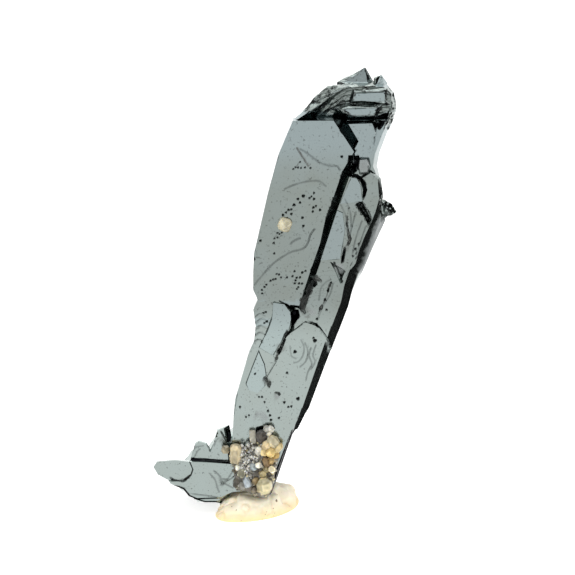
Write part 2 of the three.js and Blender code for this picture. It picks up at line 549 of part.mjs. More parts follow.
// The lump of putty, with room pressed into it for the crystals
function putty(pressedIn) {
  const [middleX, middleY] = PUTTY_MIDDLE;
  const underside = puttyFloor().map(([x, y]) => [
    middleX + FLOOR_SHARE * (x - middleX),
    middleY + FLOOR_SHARE * (y - middleY),
    0,
  ]);
  const rings = PUTTY_RINGS.map(([share, height]) =>
    PUTTY_OUTLINE.map((point) => {
      const x = share * (point[0] - middleX);
      const y = share * (point[1] - middleY);
      const z = PUTTY_HEIGHT * height * (1 + PUTTY_SLOPE[0] * x + PUTTY_SLOPE[1] * y);
      return [middleX + x, middleY + y, z];
    }),
  );
  const lump = loft([underside, ...rings], [1, 0]);
  const shifts = [[0, 0, 0], [GAP, 0, 0], [-GAP, 0, 0], [0, GAP, 0], [0, -GAP, 0], [0, 0, -GAP]];
  return shifts.reduce((solid, shift) => solid.subtract(pressedIn.translate(shift)), lump);
}

function piece(name, solid, material) {
  const mesh = new THREE.Mesh(geometryFrom(solid), new THREE.MeshStandardMaterial(material));
  mesh.name = name;
  return mesh;
}

const hematiteSolid = hematite();
const crustSolid = crust();
const puttySolid = putty(hematiteSolid.add(crustSolid));

const specimen = new THREE.Group();
specimen.add(
  piece("hematite_crystals", hematiteSolid, { color: 0x8f9a9c, metalness: 0.9, roughness: 0.25 }),
  piece("quartz_crust", crustSolid, { color: 0xd8c79a, metalness: 0.0, roughness: 0.4 }),
  piece("face_grain", convex(FACE_GRAIN), { color: 0xcfc5a4, metalness: 0.0, roughness: 0.5 }),
  piece("putty_lump", puttySolid, { color: 0xf4ead2, metalness: 0.0, roughness: 0.7 }),
);
specimen.position.y = -DEPTH_MIDDLE;

export default specimen;
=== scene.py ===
# Hematite specimen: mirror-bright tabular crystals, a crust of quartz grains, and the putty that holds them.

import math
from itertools import product

import bpy
import numpy as np
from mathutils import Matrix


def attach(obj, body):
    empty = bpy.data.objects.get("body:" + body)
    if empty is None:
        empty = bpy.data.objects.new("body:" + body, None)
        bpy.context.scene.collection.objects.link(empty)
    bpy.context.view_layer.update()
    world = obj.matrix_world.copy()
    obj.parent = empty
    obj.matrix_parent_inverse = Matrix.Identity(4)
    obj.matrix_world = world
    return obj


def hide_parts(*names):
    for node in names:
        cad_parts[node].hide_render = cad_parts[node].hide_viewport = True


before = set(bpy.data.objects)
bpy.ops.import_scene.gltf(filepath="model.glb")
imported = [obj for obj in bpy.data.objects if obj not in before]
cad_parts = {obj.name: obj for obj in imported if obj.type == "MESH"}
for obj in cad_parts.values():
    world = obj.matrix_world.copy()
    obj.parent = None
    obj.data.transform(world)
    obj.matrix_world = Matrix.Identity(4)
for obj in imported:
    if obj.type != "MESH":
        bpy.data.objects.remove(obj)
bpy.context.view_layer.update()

# One millimetre in metres. All shapes below are worked out in millimetres.
MM = 0.001

# The camera stands 12 degrees above the horizon, with a long lens
PHOTO_SIZE = 575
LENS = 200.0
SENSOR = 36.0
CAMERA_RISE = math.radians(12.0)
CAMERA_DISTANCE = 415.3
CAMERA_TARGET = np.array([1.625, -2.438, 30.02])
FOCAL_PIXELS = LENS / SENSOR * PHOTO_SIZE
LOOK = np.array([0.0, math.cos(CAMERA_RISE), -math.sin(CAMERA_RISE)])
LOOK_UP = np.array([0.0, math.sin(CAMERA_RISE), math.cos(CAMERA_RISE)])
CAMERA_PLACE = CAMERA_TARGET - CAMERA_DISTANCE * LOOK
# One pixel of the photograph on the object, in millimetres, and the columns and rows that the object fills
PIXEL = 0.13
FILLED_COLUMNS = (150.0, 402.0)
FILLED_ROWS = (60.0, 524.0)

# Depths of the front faces that carry the crust and the pale grain
MAIN_FACE = -6.638
LOWER_FACE = -5.738

# Faces that are fresh and bright: the neck's, and the tablets' on the second and on the leaning left plate,
# with the height of each group's foot and the row in the photograph where the left plate starts
NECK_FACE = -6.238
SECOND_TABLET = -5.238
UPPER_FRESH_FOOT = 20.0
LEFT_FACE = -6.388
LEFT_TOP = 29.0
LEFT_LEAN = 0.054
LEFT_TOP_ROW = 301
LEFT_FRESH_FOOT = 15.0
TABLET_RISE = 0.3

# The lower plate's upper edge in X and Z. The second plate ends there, flush with it: its face's depth, and
# how far it comes forward between two heights.
LOWER_EDGE = [(1.0, 24.0), (1.9, 24.6), (4.0, 26.1), (5.6, 25.5), (6.65, 24.0), (7.4, 22.4)]
SECOND_FACE = -4.938
SECOND_STEP = 0.76
SECOND_TOP = 37.0
SECOND_FOOT = 25.4

# The head lies above a line that falls to the right: its height at X = 0, its fall and its back
HEAD_FOOT = 54.6
HEAD_FALL = 0.2
HEAD_BACK = -2.6

# The head's ledges climb to the right around a middle place and turn level between two columns. The sizes of
# three kinds of ledge and of the finest streaks are their width and length in pixels.
HEAD_MIDDLE = (346.0, 92.0)
LEDGES_TURN = (336, 356)
LEDGE_ACROSS = (0.57, 0.82)
LEDGE_ALONG = (0.82, -0.57)
LEDGE_SIZES = [(4.2, 21.0), (3.4, 13.0), (2.1, 9.0)]
STREAK_SIZE = (1.5, 9.0)

# The rough lump on the right edge: its left side in X, and its foot and top in Z
EDGE_LUMP_LEFT = 13.2
EDGE_LUMP_FOOT = 38.8
EDGE_LUMP_TOP = 42.4

# Everything behind this depth is left with coarse triangles
FRONT_LIMIT = -3.2

# Hollows that are seen from the front, with the painted shade in them, end at this depth
GAP_LIMIT = -2.7

# Triangle sizes of the crystals: at lines, pits and rough seams, on the head, on plain faces, on faces that
# look away from the viewer, at the back, and how fast they grow away from a mark. A face whose normal has
# less than SEEN_SLOPE along Y looks toward the viewer.
LINE_TRIANGLE = 0.14
PIT_TRIANGLE = 0.1
ROUGH_TRIANGLE = 0.16
HEAD_TRIANGLE = 0.135
FACE_TRIANGLE = 0.8
AWAY_TRIANGLE = 0.8
BACK_TRIANGLE = 1.0
TRIANGLE_GROWTH = 1.0
LINE_HALF_WIDTH = 0.07
REFINE_ROUNDS = 14
SEEN_SLOPE = -0.25

# Neighbouring faces that meet at more than this angle keep a crisp edge
CRISP_EDGE = math.cos(math.radians(17.0))

# Marks on the faces, as places in the photograph. Growth lines: thin grooves where a layer ended, each with a
# little painted shade along it.
MAIN_LINES = [
    [(300, 149), (307, 153), (320, 162.5), (331, 166), (337, 166), (340, 170)],
    [(284.6, 189), (293.6, 185), (306, 181.5), (318.6, 181), (325.7, 186)],
    [
        (314.5, 229), (310.4, 235), (307.3, 244), (302, 249), (291, 252), (283, 256.5), (272.7, 264),
        (263.5, 274), (254.3, 285),
    ],
    [(290.5, 244), (293, 241.5), (297.5, 239), (300, 238.2)],
]
SECOND_LINES = [
    [(319, 300), (321, 288), (326, 282), (330, 280)],
    [(333, 283), (330, 294), (323, 306), (318, 318)],
    [(345, 199), (350, 211), (351.5, 226)],
    [(341, 205), (346, 217), (347, 232)],
    [(356, 212), (351.5, 228), (348, 243)],
    [(362, 221), (356, 238), (352.5, 254)],
    [(366, 226), (360.5, 243), (357, 257)],
]
LOWER_LINES = [
    [(308.4, 321), (313, 322.5), (318, 325.5)],
    [(301, 340), (304, 347), (303, 355), (299, 361), (294, 363)],
    [(305, 343), (308, 352), (306, 361), (300, 367)],
    [(311, 348), (309, 356), (312, 364), (308, 372), (306, 380)],
    [(316, 345), (313, 355), (315, 362), (311, 369)],
    [(290, 346), (291.5, 356), (296, 358.5)],
]
LEFT_LINES = [
    [(255, 317), (260, 314), (265, 316)],
    [(256, 323), (262, 319), (268, 322)],
    [(255, 330), (261, 326), (267, 329)],
    [(255, 336), (260, 333), (266, 335)],
    [(254, 342), (259, 340), (263, 343)],
    [(287, 330), (281, 346), (276, 360), (271, 370), (266, 378)],
]
FOOT_LINES = [
    [(192.5, 494), (208, 496), (223.5, 498.5)],
    [(210, 474), (215, 480), (217, 487), (219, 492)],
    [(221, 482), (227, 485), (233, 488)],
    [(214, 471), (219.5, 476), (223, 485)],
    [(223, 479), (228, 480), (234, 477)],
    [(221, 485), (227, 480), (233, 471)],
    [(192, 452), (196, 447.4), (203, 446)],
    [(194, 458), (197, 452), (200, 449)],
    [(214, 446), (216, 441), (219, 438)],
]
# Etch pits, as x, y and radius in millimetres. Each is painted dark inside as shade.
PITS = [
    (293.3, 169, 0.15), (295.5, 167.4, 0.15), (298, 167.5, 0.16), (301, 168, 0.15), (305, 167.4, 0.16),
    (310.5, 168, 0.16), (300, 162, 0.14), (341.8, 156.7, 0.22), (303.4, 196, 0.26), (298, 199, 0.2),
    (294, 205, 0.24), (300, 202.7, 0.19), (288.5, 210, 0.2), (291.3, 209.5, 0.18), (286, 212.5, 0.18),
    (283, 215, 0.2), (291.3, 214, 0.2), (287, 218.5, 0.16), (314, 199, 0.2), (309.6, 198, 0.18),
    (314, 193, 0.17), (311.5, 196.5, 0.15), (313.4, 207.5, 0.2), (316, 206, 0.16), (312.8, 211.6, 0.18),
    (320, 210, 0.2), (302.5, 217.7, 0.2), (303.4, 226, 0.2), (277.5, 233, 0.16), (279.5, 234, 0.15),
    (281.7, 232.7, 0.15), (274.5, 238.5, 0.16), (277.5, 237.5, 0.15), (273.7, 243, 0.17),
    (274.2, 253.5, 0.17), (260.4, 240.7, 0.2), (262.3, 293.5, 0.17), (262, 290, 0.16), (264.5, 287, 0.17),
    (266.4, 284.7, 0.16), (270.5, 280.8, 0.17), (273, 279.5, 0.16), (275.5, 279, 0.17), (279, 274.5, 0.17),
    (276.5, 274, 0.15), (281, 277.5, 0.16), (287, 277.5, 0.17), (294.5, 271.3, 0.17), (302.3, 272.5, 0.2),
    (305.5, 271, 0.17), (292.5, 276.3, 0.17), (296.6, 277.8, 0.18), (300, 277.3, 0.17), (295.5, 280.5, 0.17),
    (294.7, 283.4, 0.17), (299, 283.4, 0.18), (302, 283.7, 0.17), (298.3, 287.2, 0.17), (297, 289, 0.16),
    (359, 244, 0.2), (355.5, 249, 0.22), (356.5, 253, 0.18), (353, 256, 0.18), (356.5, 258, 0.18),
    (331, 283, 0.2), (328, 291, 0.2), (325, 300, 0.22), (320, 309, 0.2), (317, 319, 0.2), (326.5, 310, 0.18),
    (295, 351.8, 0.27), (314.9, 340.6, 0.3), (313.5, 338, 0.18), (298, 398.7, 0.28), (287, 373, 0.2),
    (284.3, 402.4, 0.2), (288.3, 407, 0.18), (291.3, 406.4, 0.18), (279, 418, 0.18), (265.8, 312, 0.18),
    (263.5, 313, 0.16), (266.8, 321.5, 0.2), (264.5, 323, 0.16), (255, 374, 0.17), (259, 397, 0.16),
    (240, 407, 0.18), (246, 417, 0.16), (249, 415.5, 0.15), (262, 397, 0.18), (264.5, 402, 0.16),
    (268, 411, 0.2), (270, 415.5, 0.2), (271, 420, 0.2), (273.5, 429, 0.2),
]
# Rough seams between crystals, as a line and its half width in millimetres. Their colour is darkened in
# patches as painted shade, over brown dust.
ROUGH_SEAMS = [
    ([(349, 208), (347, 220), (349, 236), (350, 241), (344, 248)], 0.13),
    ([(317, 279), (311, 287), (306, 298), (303, 308)], 0.45),
    ([(304, 300), (304.4, 307), (305, 313)], 0.45),
    ([(287.5, 332), (283, 343), (278, 353), (276, 359)], 0.2),
    ([(263, 376), (268, 381), (269, 387)], 0.26),
    ([(330, 284), (326, 297), (319, 312)], 0.13),
]
# Deep hollows between crystals, as outlines. Their colour is painted near black as shade.
HOLLOWS = [
    [(291.5, 307.5), (298, 309.5), (300, 316), (296, 323.5), (289, 332.5), (291.3, 322), (292.2, 315)],
    [
        (350.5, 174.6), (357, 174.2), (362.5, 177.3), (366.2, 183), (367.4, 189.5), (366, 196), (362.5, 203),
        (362.8, 196), (363.2, 190), (361.6, 184), (358.5, 179.6), (355, 177), (350.5, 176.4),
    ],
    [(353.8, 157.2), (358.9, 157.4), (359.4, 164), (357, 171), (351, 176), (348.5, 176.5)],
    [(345.5, 246.5), (346.2, 250), (344, 262), (341, 264), (341.4, 256), (343.4, 249)],
    [(308, 320.6), (313, 321.4), (318, 323.6), (318.6, 326.6), (315, 325.4), (311, 323)],
    [(278.6, 299.8), (285, 302.6), (291, 305.6), (296.5, 307.6), (292.4, 310), (286, 305.8), (279.5, 302)],
    [(207, 445.2), (212.4, 445), (210.2, 453)],
    [
        (168, 475.6), (174, 479), (182, 480), (187, 476.4), (190.6, 473.6), (190, 478), (183, 482.6),
        (172, 481),
    ],
    [(189.3, 458), (212, 459.6), (236, 461.2), (240.5, 463.4), (236, 464.6), (212, 462.8), (189.3, 461.4)],
    [(225.6, 429), (232.4, 428.4), (231.4, 443), (227.4, 443)],
    [(219.8, 431), (221.6, 431), (228.4, 443), (226.8, 443.6)],
    [(256, 428), (262, 427), (266, 434), (265, 443), (258, 444), (255, 437)],
    [(291.6, 430), (297, 430), (278, 478), (272.6, 494), (267, 496), (272.8, 478)],
    [(273.4, 393), (276, 391.6), (279.6, 392.4), (280.8, 394.6), (279, 396.4), (277.6, 394.2)],
    [(333, 261.5), (335, 262), (343, 281), (341.6, 283.6)],
    [(367.4, 160), (369.6, 161), (370, 165.5), (368.6, 166)],
    [(370.4, 121.6), (386, 119.6), (383, 126), (379.6, 130.4), (375, 125.4)],
    [(333, 113.4), (352, 117), (375, 116.4), (389, 112), (386, 120), (371, 120.4), (335, 120.6)],
]
# Hollows lined with small glittering crystals, as outlines. Their colour is darkened as painted shade.
ROUGH_HOLLOWS = [
    [(355, 204.6), (361, 201), (364.5, 203), (372, 219), (369.4, 227)],
    [(311, 277), (316, 280.5), (317.5, 284), (312, 290), (306, 300), (304, 300)],
]
# Fresh, bright facets of the head that stay smooth
SMOOTH_FACETS = [
    [(352, 101.6), (354.6, 92), (386, 90.6), (386, 103)],
    [(341, 110), (346, 107.4), (378.6, 106.6), (374.8, 115.8), (352, 116.4)],
    [(341, 84), (364.5, 67), (373, 82), (370, 84.5)],
    [(374, 85), (378, 75.6), (384, 75.6), (390, 84), (388, 89), (374, 88)],
    [(333, 112), (352, 116), (375, 115.4), (389, 110), (388, 122), (333, 122)],
    [(349, 123.6), (372.4, 122.4), (377, 131), (370.4, 158), (354.6, 157.2), (353.4, 150.6), (358, 141.4)],
]
# Where brown dust has gathered, as x, y and radius in pixels
DUST_PATCHES = [
    (313, 283, 5), (306, 298, 6), (306, 312, 7), (281, 348, 6), (267, 381, 5), (346, 250, 5), (222, 440, 5),
    (262, 432, 8), (276, 396, 4.4), (256.6, 416, 4.5), (364, 167, 5),
]
# Pale weathered patches, as x, y and radius in pixels
PALE_PATCHES = [
    (364, 163.5, 6.5), (364, 169, 6.5), (340, 268, 5), (262, 417, 7), (276.4, 396.4, 3.4), (311, 311, 4.5),
]
# Low growth ridges at the left edge: columns where they rise, rows where they rise and where they fade
RIDGE_COLUMNS = (271, 257)
RIDGE_TOP_ROWS = (302, 312)
RIDGE_FOOT_ROWS = (352, 342)
# Rows over which brown stain sets in, and over which the darker upper colour turns to the lighter lower one,
# a painted sheen for the lower faces' brighter reflection
STAIN_ROWS = (140, 185)
PAINTED_SHEEN_ROWS = (296, 345)
# Left edge of the pale sliver beside the dark strip, as y and x, and the rows of its two ends
SLIVER_EDGE = [(212, 379.5), (219.5, 376.7), (236.4, 370.2), (252, 365.0), (269, 358.5), (277, 356.0)]
SLIVER_TOP_ROWS = (212, 222)
SLIVER_FOOT_ROWS = (277, 270)
# Left edge of the CAD bevel beside the second plate, as y, x and how far it moves to the left
BEVEL_SHIFT = [
    (212, 376.0, 0.0), (226, 372.2, 1.9), (239, 368.9, 3.9), (251, 364.4, 4.2), (264, 359.8, 3.5),
    (273, 352.0, 3.0), (283, 346.2, 1.5), (300, 341.0, 0.0),
]
# Left edge of the dark strip along the right side, as y and x
STRIP_EDGE = [(200, 379), (215, 372), (280, 343.5), (350, 319), (420, 294), (440, 288)]
# A brown scratch on the main face
SCRATCH = [(297, 148), (302, 156), (308.4, 166)]

# Directions that a quartz crystal's faces look in: six sides, and six at each pointed end
SIDES = np.array([[math.cos(a), math.sin(a), 0.0] for a in np.arange(6) * math.pi / 3])
POINT_SLOPE = math.radians(51.3)
POINTS_UP = SIDES * math.sin(POINT_SLOPE) + [0.0, 0.0, math.cos(POINT_SLOPE)]

# Grid columns and rows of a large grain, of a small one and of the pale grain on the main face
GRAIN_GRID = (40, 22)
SMALL_GRID = (6, 5)
FACE_GRAIN_GRID = (40, 24)
# How many broken planes a large grain and the pale grain have, and where the pale grain lies
GRAIN_CHIPS = 5
FACE_GRAIN_CHIPS = 6
FACE_GRAIN_PLACE = (1.28, MAIN_FACE - 0.25, 39.2)

# Large grains of the crust: place in the photograph, half width and half length in millimetres, lean in
# degrees, how far the middle stands in front of the lower face, and colour
LARGE_GRAINS = [
    (235.5, 453.8, 0.62, 1.34, 3, 1.0, "bdb091"),
    (225.6, 449.5, 0.52, 0.62, 50, 0.6, "8f8874"),
    (252.6, 437, 0.36, 0.95, -4, 0.9, "aaa79a"),
    (261, 436.5, 0.62, 0.95, 12, 0.8, "55524e"),
    (266.6, 429, 0.34, 0.5, 20, 0.8, "a5a49c"),
    (271, 429, 0.36, 0.52, -30, 0.8, "c4c2b8"),
    (269, 433.5, 0.3, 0.4, 40, 0.9, "cfcabb"),
    (273, 442, 0.66, 0.9, -30, 1.3, "c6bd9f"),
    (266, 445.5, 0.5, 0.7, 24, 1.5, "cbb994"),
    (277.6, 447.5, 0.5, 0.8, 40, 1.2, "bfae82"),
    (270.5, 452.5, 0.55, 0.7, 70, 1.7, "d2b97e"),
    (275.8, 455, 0.42, 0.55, 20, 1.3, "b59a63"),
    (258.6, 451, 0.42, 0.62, 10, 1.4, "dfdbcf"),
    (264, 452.5, 0.4, 0.55, -20, 1.6, "d8c48f"),
    (238.4, 467.5, 0.4, 0.5, 30, 1.0, "cfcdbf"),
    (241.6, 473, 0.45, 0.75, 20, 1.1, "a6a48f"),
    (253.6, 467, 0.5, 0.55, 45, 1.3, "8f989a"),
    (258.8, 465.4, 0.42, 0.44, 10, 1.8, "d9d6c8"),
    (266.4, 462, 0.45, 0.75, -16, 1.2, "8a7557"),
    (271, 460.5, 0.4, 0.6, 20, 1.2, "a58d62"),
    (271.8, 469.6, 0.44, 0.5, 60, 1.7, "ebe0bf"),
    (264.4, 486, 0.82, 1.15, -10, 1.6, "c9c09c"),
    (237.4, 481, 0.42, 1.0, 14, 0.9, "65625b"),
    (241.4, 484, 0.3, 0.9, -24, 1.0, "7e7d76"),
    (247, 482, 0.38, 0.85, -18, 1.2, "a4acb0"),
    (255.4, 481, 0.42, 0.55, 30, 1.0, "8a7a5c"),
    (262.6, 474, 0.42, 0.5, 20, 1.4, "b0a27a"),
    (254, 490, 0.36, 0.45, 70, 1.0, "6f675a"),
    (266, 470, 0.34, 0.45, 10, 1.3, "a3966f"),
]
# Outlines of the pale sugary mass and of the whole crust
SUGAR_OUTLINE = [
    (241, 445), (247, 442), (254, 444), (258, 452), (257, 464), (251, 477), (246, 475), (239, 465),
    (241, 455),
]
CRUST_OUTLINE = [
    (232, 453), (241, 450), (249, 445), (256, 436), (265, 434), (273, 436), (279, 441), (281, 448),
    (278, 462), (275, 474), (272, 488), (266, 497), (256, 496), (246, 491), (236, 490), (234, 478),
    (233, 466), (229, 456),
]
# Small grains: outline, how many, how far they stand in front of the lower face, and their colours
SMALL_GRAINS = [
    (SUGAR_OUTLINE, 190, 1.0, 1.5, ("c9c8c1", "b4b3ac", "9a9992", "dad8d0", "84827b")),
    (CRUST_OUTLINE, 340, 0.6, 1.2, ("8a8577", "a9a594", "c4b995", "6b665b", "b9b6ad")),
]
# The bed under the grains: rings, height of its dome, and how far its back is sunk into the lower face
BED_RINGS = 26
BED_HEIGHT = 0.9
BED_SUNK = 0.6

# The putty's outline on the floor, in x and y, and its profile: share of the outline and height
PUTTY_OUTLINE = [
    (-7.7, -4.2), (-7.8, -6.4), (-6.8, -8.1), (-4.6, -8.5), (-2.2, -7.7), (0.2, -5.9), (2.2, -3.0),
    (3.1, -0.3), (3.1, 2.3), (1.6, 4.16), (-2.0, 5.26), (-6.0, 4.56), (-6.9, 2.36), (-7.2, -0.6),
]
PUTTY_PROFILE = [
    (0.0, 0.0), (0.5, 0.0), (0.9, 0.0), (0.975, 0.05), (1.0, 0.45), (0.985, 0.95), (0.94, 1.55),
    (0.86, 2.1), (0.74, 2.6), (0.55, 2.95), (0.3, 3.15), (0.0, 3.25),
]
# Toward its left end, between two places in X, the lump is lower by this share
PUTTY_TAPER = 0.3
PUTTY_TAPER_ENDS = (-4.0, -8.0)

# Soft lights all round, as direction, angle with full light, angle with none, and strength
LIGHTS = [
    ((0.0, -math.cos(CAMERA_RISE), -math.sin(CAMERA_RISE)), 16.0, 44.0, 1.14),
    ((0.0, 1.0, 0.0), 44.0, 55.0, 1.45),
    ((0.0, 0.2, 0.98), 30.0, 47.0, 2.0),
    ((0.0, -0.74, 0.66), 10.0, 30.0, 0.8),
    ((-1.0, 0.0, 0.1), 10.0, 40.0, 0.3),
    ((0.0, -0.45, -0.89), 8.0, 34.0, 0.4),
]
DIM_LIGHT = 0.01
# Even light for matt surfaces, and a weak window at the left: its size in metres, power, place and turn
SOFT_LIGHT = 1.0
WINDOW_SIZE = 0.3
WINDOW_POWER = 0.35
WINDOW_PLACE = (-0.18, -0.3, 0.3)
WINDOW_TURN = (math.radians(48.0), 0.0, math.radians(-30.0))

# How many growth layers a full swell of the faces passes through
GROWTH_LAYERS = 26.0

# Rounding to this many millimetres brings a node's loose corners together
MERGE = 1e-4


def linear(hex_colour):
    """An sRGB hex colour as linear red, green, blue and a full alpha."""
    parts = np.array([int(hex_colour[i : i + 2], 16) for i in (0, 2, 4)]) / 255.0
    curve = np.where(parts <= 0.04045, parts / 12.92, ((parts + 0.055) / 1.055) ** 2.4)
    return (*curve.tolist(), 1.0)


def add(tree, kind, sockets=None, **settings):
    """Adds a node, sets its settings, and links or sets each of its sockets."""
    node = tree.nodes.new(kind)
    for name, value in settings.items():
        setattr(node, name, value)
    for name, value in (sockets or {}).items():
        if isinstance(value, bpy.types.NodeSocket):
            tree.links.new(value, node.inputs[name])
        else:
            node.inputs[name].default_value = value
    return node


def smooth_step(low, high, value):
    """0 below low, 1 above high, and an S-shaped cubic between them."""
    share = np.clip((value - low) / (high - low), 0.0, 1.0)
    return share * share * (3.0 - 2.0 * share)


def noise(places, size, seed):
    """Random values at the corners of cubes of the given size, blended smoothly between them, -1 to 1."""
    scaled = places / size
    cell = np.floor(scaled).astype(np.int64)
    share = scaled - cell
    share = share * share * (3.0 - 2.0 * share)
    total = np.zeros(len(places))
    for corner in product((0, 1), repeat=3):
        weight = np.prod(np.where(corner, share, 1.0 - share), axis=1)
        mixed = (cell + corner) @ np.array([73856093, 19349663, 83492791]) + seed * 40503
        mixed = (mixed ^ (mixed >> 13)) * 1274126177 & 0x7FFFFFFF
        mixed = (mixed ^ (mixed >> 15)) * 2246822519 & 0x7FFFFFFF
        total += weight * (mixed / 0x7FFFFFFF)
    return 2.0 * total - 1.0


def smooth_curve(corners, per_span=8, closed=False):
    """A line through corners: each span is the cubic whose end slopes follow its neighbours' chords."""
    corners = np.asarray(corners, float)
    before, after = 2 * corners[:1] - corners[1:2], 2 * corners[-1:] - corners[-2:-1]
    padded = np.concatenate([before, corners, after])
    if closed:
        padded = np.concatenate([corners[-1:], corners, corners[:2]])
    a, b, c, d = (padded[i : len(padded) - 3 + i, None] for i in range(4))
    t = np.linspace(0.0, 1.0, per_span, endpoint=False)[None, :, None]
    spans = b + 0.5 * t * (c - a + t * (2 * a - 5 * b + 4 * c - d + t * (3 * (b - c) + d - a)))
    line = spans.reshape(-1, corners.shape[1])
    return line if closed else np.concatenate([line, corners[-1:]])


def photo_place(points):
    """Where points appear in the photograph: offsets across the view divided by the distance along it."""
    offset = points - CAMERA_PLACE
    scale = FOCAL_PIXELS / (offset @ LOOK)
    return np.stack([offset[:, 0] * scale, -(offset @ LOOK_UP) * scale], axis=1) + PHOTO_SIZE / 2


def on_plane(pixels, depth):
    """Points at a depth along Y that appear at places in the photograph: the rays through them, cut there."""
    across = (np.asarray(pixels, float) - PHOTO_SIZE / 2) / FOCAL_PIXELS
    ray = LOOK + across[..., :1] * [1.0, 0.0, 0.0] - across[..., 1:2] * LOOK_UP
    return CAMERA_PLACE + ray * ((depth - CAMERA_PLACE[1]) / ray[..., 1:2])


def line_distance(places, line):
    """Distance from each place to a line's nearest point, by its foot on every segment of the line."""
    start = line[:-1]
    step = np.diff(line, axis=0)
    offset = places[:, None] - start
    share = np.clip((offset * step).sum(2) / (step**2).sum(1), 0.0, 1.0)
    gap = offset - share[..., None] * step
    return np.hypot(gap[..., 0], gap[..., 1]).min(axis=1)


def near(places, line, margin):
    """Numbers of the places inside the line's box, widened by a margin."""
    low, high = line.min(axis=0) - margin, line.max(axis=0) + margin
    return np.flatnonzero(((places > low) & (places < high)).all(axis=1))


def cad_triangles(node):
    """A CAD node's points in millimetres and its triangles, with its loose corners brought together."""
    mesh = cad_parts[node].data
    mesh.calc_loop_triangles()
    places = np.empty(len(mesh.vertices) * 3)
    mesh.vertices.foreach_get("co", places)
    triangles = np.empty(len(mesh.loop_triangles) * 3, np.int32)
    mesh.loop_triangles.foreach_get("vertices", triangles)
    places = places.reshape(-1, 3) / MM
    cells = np.round(places / MERGE).astype(np.int64)
    _, first, number = np.unique(cells, axis=0, return_index=True, return_inverse=True)
    faces = number.reshape(-1)[triangles.reshape(-1, 3)].astype(np.int64)
    whole = (faces != np.roll(faces, 1, axis=1)).all(axis=1)
    return places[first], faces[whole]


def split(points, faces, parent, middle):
    """Each triangle cut between its corners and the new middles of its sides, which are -1 where uncut."""
    cut = middle >= 0
    count = cut.sum(axis=1)
    first = np.where(count == 1, cut.argmax(axis=1), 0)
    first = np.where(count == 2, ((~cut).argmax(axis=1) + 1) % 3, first)
    turn = (first[:, None] + np.arange(3)) % 3
    a, b, c = np.take_along_axis(faces, turn, 1).T
    ab, bc, ca = np.take_along_axis(middle, turn, 1).T
    short = np.linalg.norm(points[a] - points[bc], axis=1) < np.linalg.norm(points[ab] - points[c], axis=1)
    one, two, three = count == 1, count == 2, count == 3
    pieces = [
        (count == 0, (a, b, c)),
        (one, (a, ab, c)), (one, (ab, b, c)),
        (two, (ab, b, bc)),
        (two & short, (a, ab, bc)), (two & short, (a, bc, c)),
        (two & ~short, (a, ab, c)), (two & ~short, (ab, bc, c)),
        (three, (a, ab, ca)), (three, (ab, b, bc)), (three, (ca, bc, c)), (three, (ab, bc, ca)),
    ]
    cut_faces = np.concatenate([np.stack(corners, axis=1)[mask] for mask, corners in pieces])
    return cut_faces, np.concatenate([parent[mask] for mask, _ in pieces])


def refine(points, faces, seen, wanted):
    """Halves every edge that is longer than the wanted size at its middle, until none is left."""
    parent = np.arange(len(faces))
    for _ in range(REFINE_ROUNDS):
        ends = np.sort(faces[:, [[0, 1], [1, 2], [2, 0]]], axis=2)
        keys, side = np.unique(ends[..., 0] * len(points) + ends[..., 1], return_inverse=True)
        side = side.reshape(-1, 3)
        a, b = np.divmod(keys, len(points))
        middles = (points[a] + points[b]) / 2
        seen_edge = np.zeros(len(keys), bool)
        seen_edge[side[seen[parent]].reshape(-1)] = True
        long = np.linalg.norm(points[a] - points[b], axis=1) > wanted(middles, seen_edge)
        if not long.any():
            break
        added = np.full(len(keys), -1)
        added[long] = len(points) + np.arange(long.sum())
        points = np.concatenate([points, middles[long]])
        faces, parent = split(points, faces, parent, added[side])
    return points, faces, parent


def triangle_sizes(marks):
    """A function that gives the wanted triangle size at points: fine at the marks, coarser away from them.
    Each mark is a line in the photograph, its half width in millimetres and the size of its triangles."""
    columns, rows = np.arange(*FILLED_COLUMNS), np.arange(*FILLED_ROWS)
    grid = np.stack(np.meshgrid(columns, rows, indexing="ij"), axis=2).reshape(-1, 2)
    sizes = np.full(len(grid), FACE_TRIANGLE)
    for line, half_width, size in marks:
        inside = near(grid, line, 9.0)
        away = np.maximum(line_distance(grid[inside], line) * PIXEL - half_width, 0.0)
        sizes[inside] = np.minimum(sizes[inside], size + TRIANGLE_GROWTH * away)
    sizes = sizes.reshape(len(columns), len(rows))

    def wanted(points, seen):
        x, y, z = points.T
        places = np.round(photo_place(points) - (columns[0], rows[0])).astype(int)
        column = np.clip(places[:, 0], 0, len(columns) - 1)
        row = np.clip(places[:, 1], 0, len(rows) - 1)
        size = np.where(y < FRONT_LIMIT, sizes[column, row], BACK_TRIANGLE)
        on_head = (z > HEAD_FOOT - HEAD_FALL * x) & (y < HEAD_BACK)
        on_lump = (x > EDGE_LUMP_LEFT) & (z > EDGE_LUMP_FOOT) & (z < EDGE_LUMP_TOP)
        size = np.where(on_head | on_lump, np.minimum(size, HEAD_TRIANGLE), size)
        return np.where(seen, size, np.maximum(size, AWAY_TRIANGLE))

    return wanted


def face_normals(points, faces):
    """Unit normal and area of each triangle, from the cross product of two of its sides."""
    a, b, c = (points[faces[:, i]] for i in range(3))
    cross = np.cross(b - a, c - a)
    double_area = np.linalg.norm(cross, axis=1)
    return cross / np.maximum(double_area, 1e-12)[:, None], double_area / 2


def corner_normals(points, faces, normals, areas):
    """Each point's mean normal over its triangles, and how flat the surface is there: 1 inside a face."""
    total = np.zeros_like(points)
    weight = np.zeros(len(points))
    for corner in range(3):
        np.add.at(total, faces[:, corner], normals * areas[:, None])
        np.add.at(weight, faces[:, corner], areas)
    length = np.linalg.norm(total, axis=1)
    return total / np.maximum(length, 1e-12)[:, None], length / np.maximum(weight, 1e-12)


